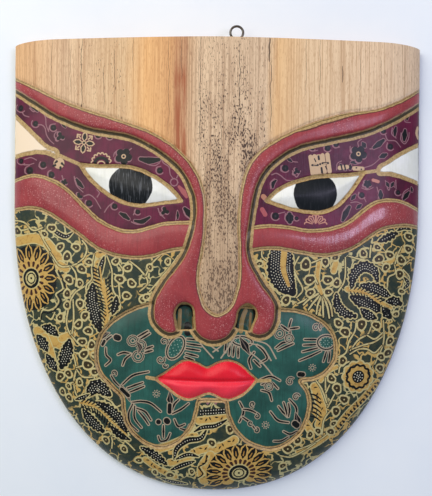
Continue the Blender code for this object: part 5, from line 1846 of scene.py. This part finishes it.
def make_screw_eye():
    """One wire: a pointed threaded shank in the wood, then its neck bent round into the ring."""
    wire = WIRE / 2
    outer = (RING_HIGH[0] - RING_LOW[0]) / 2
    radius = outer - wire
    middle = (RING_LOW + RING_HIGH) / 2
    middle[1] = RING_HIGH[1] - outer
    turn = np.linspace(-math.pi / 2 + 0.30, 1.5 * math.pi - 0.12, 90)
    ring = middle + radius * np.c_[np.cos(turn), np.sin(turn), np.zeros(len(turn))]
    up = np.linspace(RING_LOW[1] + SHANK_START, middle[1] - radius - NECK, 110)
    shank = np.c_[np.full(len(up), middle[0]), up, np.full(len(up), middle[2])]
    bend = np.linspace(0, 1, 12)[1:-1, None]
    joint = ((1 - bend) ** 2 * shank[-1] + 2 * bend * (1 - bend) * (shank[-1] + [0, 0.0008, 0])
             + bend**2 * ring[0])
    path = np.vstack([shank, joint, ring])
    way = np.concatenate([[0], np.cumsum(np.linalg.norm(np.diff(path, axis=0), axis=1))])
    thread = 0.5 + 0.5 * np.cos(FULL_TURN * way / THREAD_PITCH)
    size = np.where(way < IN_WOOD, THREAD_ROOT + THREAD_DEPTH * thread, wire)
    size *= np.clip(way / POINT, 0.12, 1) ** 0.8
    size *= np.clip((way[-1] - way) / BLUNT_END, 0.3, 1) ** 0.5
    return swept_tube("wire_screw_eye", path, size)


def stage_and_camera():
    """A pale table, a camera straight above the face and soft studio light from two sides."""
    bpy.ops.mesh.primitive_plane_add(size=4.0, location=(0, 0, -0.0002))
    table = bpy.context.object
    table.name = "table"
    material, g, shader = new_material("pale table", 0.55, 0.3)
    cloud = g.noise(g.place(), 6.0, 4.0, 0.6)
    tone = g.mix(g.step(cloud, 0.35, 0.7), ink(247, 250, 252), ink(240, 245, 250))
    g.plug(shader.inputs["Base Color"], tone)
    table.data.materials.append(material)

    data = bpy.data.cameras.new("overhead")
    data.sensor_width = SENSOR
    data.lens = FOCAL_PIXELS * SENSOR / FRAME_HIGH
    camera = bpy.data.objects.new("overhead", data)
    bpy.context.collection.objects.link(camera)
    camera.location = (0, CAMERA_Y, CAMERA_HEIGHT)
    camera.rotation_euler = (0, 0, CAMERA_ROLL)
    bpy.context.scene.camera = camera

    for name, place, size, power, tint in LAMPS:
        data = bpy.data.lights.new(name, "AREA")
        data.size = size
        data.energy = power
        data.color = tint
        lamp = bpy.data.objects.new(name, data)
        bpy.context.collection.objects.link(lamp)
        lamp.location = place
        away = np.array(place, float) - [0, 0, AIM_HEIGHT]
        across, flat = math.atan2(away[1], away[0]), math.hypot(away[0], away[1])
        lamp.rotation_euler = (0, math.atan2(flat, away[2]), across)
    world = bpy.data.worlds.new("studio")
    world.use_nodes = True
    world.node_tree.nodes["Background"].inputs[0].default_value = WORLD_TINT
    world.node_tree.nodes["Background"].inputs[1].default_value = WORLD_POWER
    bpy.context.scene.world = world
    bpy.context.scene.view_settings.view_transform = "Standard"


LAMPS = [  # name, place, size, watts, tint
    ("window", (-0.55, 0.50, 0.80), 1.1, 10.4, (1.0, 0.955, 0.865)),
    ("side window", (0.57, 0.165, 0.90), 0.34, 3.3, (0.76, 0.71, 1.0)),
]
AIM_HEIGHT = 0.02  # the lamps point at the face, this far above the table
WORLD_TINT, WORLD_POWER = (0.66, 0.86, 1.0, 1.0), 0.30


def dress():
    """Make every piece, give it its finish and hang it on the frame."""
    groups = {"grain": wood_grain_group(), "stroke": painted_stroke_group(),
              "paint": brushed_paint_group(), "crack": crack_group()}
    mask, board = make_board()
    keep_fields(mask, field_values(board["vertices"]))
    painting = Painting()
    batik_drawing(painting)
    lid_drawing(painting)
    teal_drawing(painting)
    nostril_drawing(painting)
    keep_strokes(mask, board, painting)
    mask.data.materials.append(painted_face(groups))
    mask.data.materials.append(bare_back(groups))
    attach(mask, "root")
    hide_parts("mask")

    ring = make_screw_eye()
    ring.data.materials.append(dull_steel())
    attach(ring, "root")
    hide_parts("screw_eye")
    stage_and_camera()


dress()
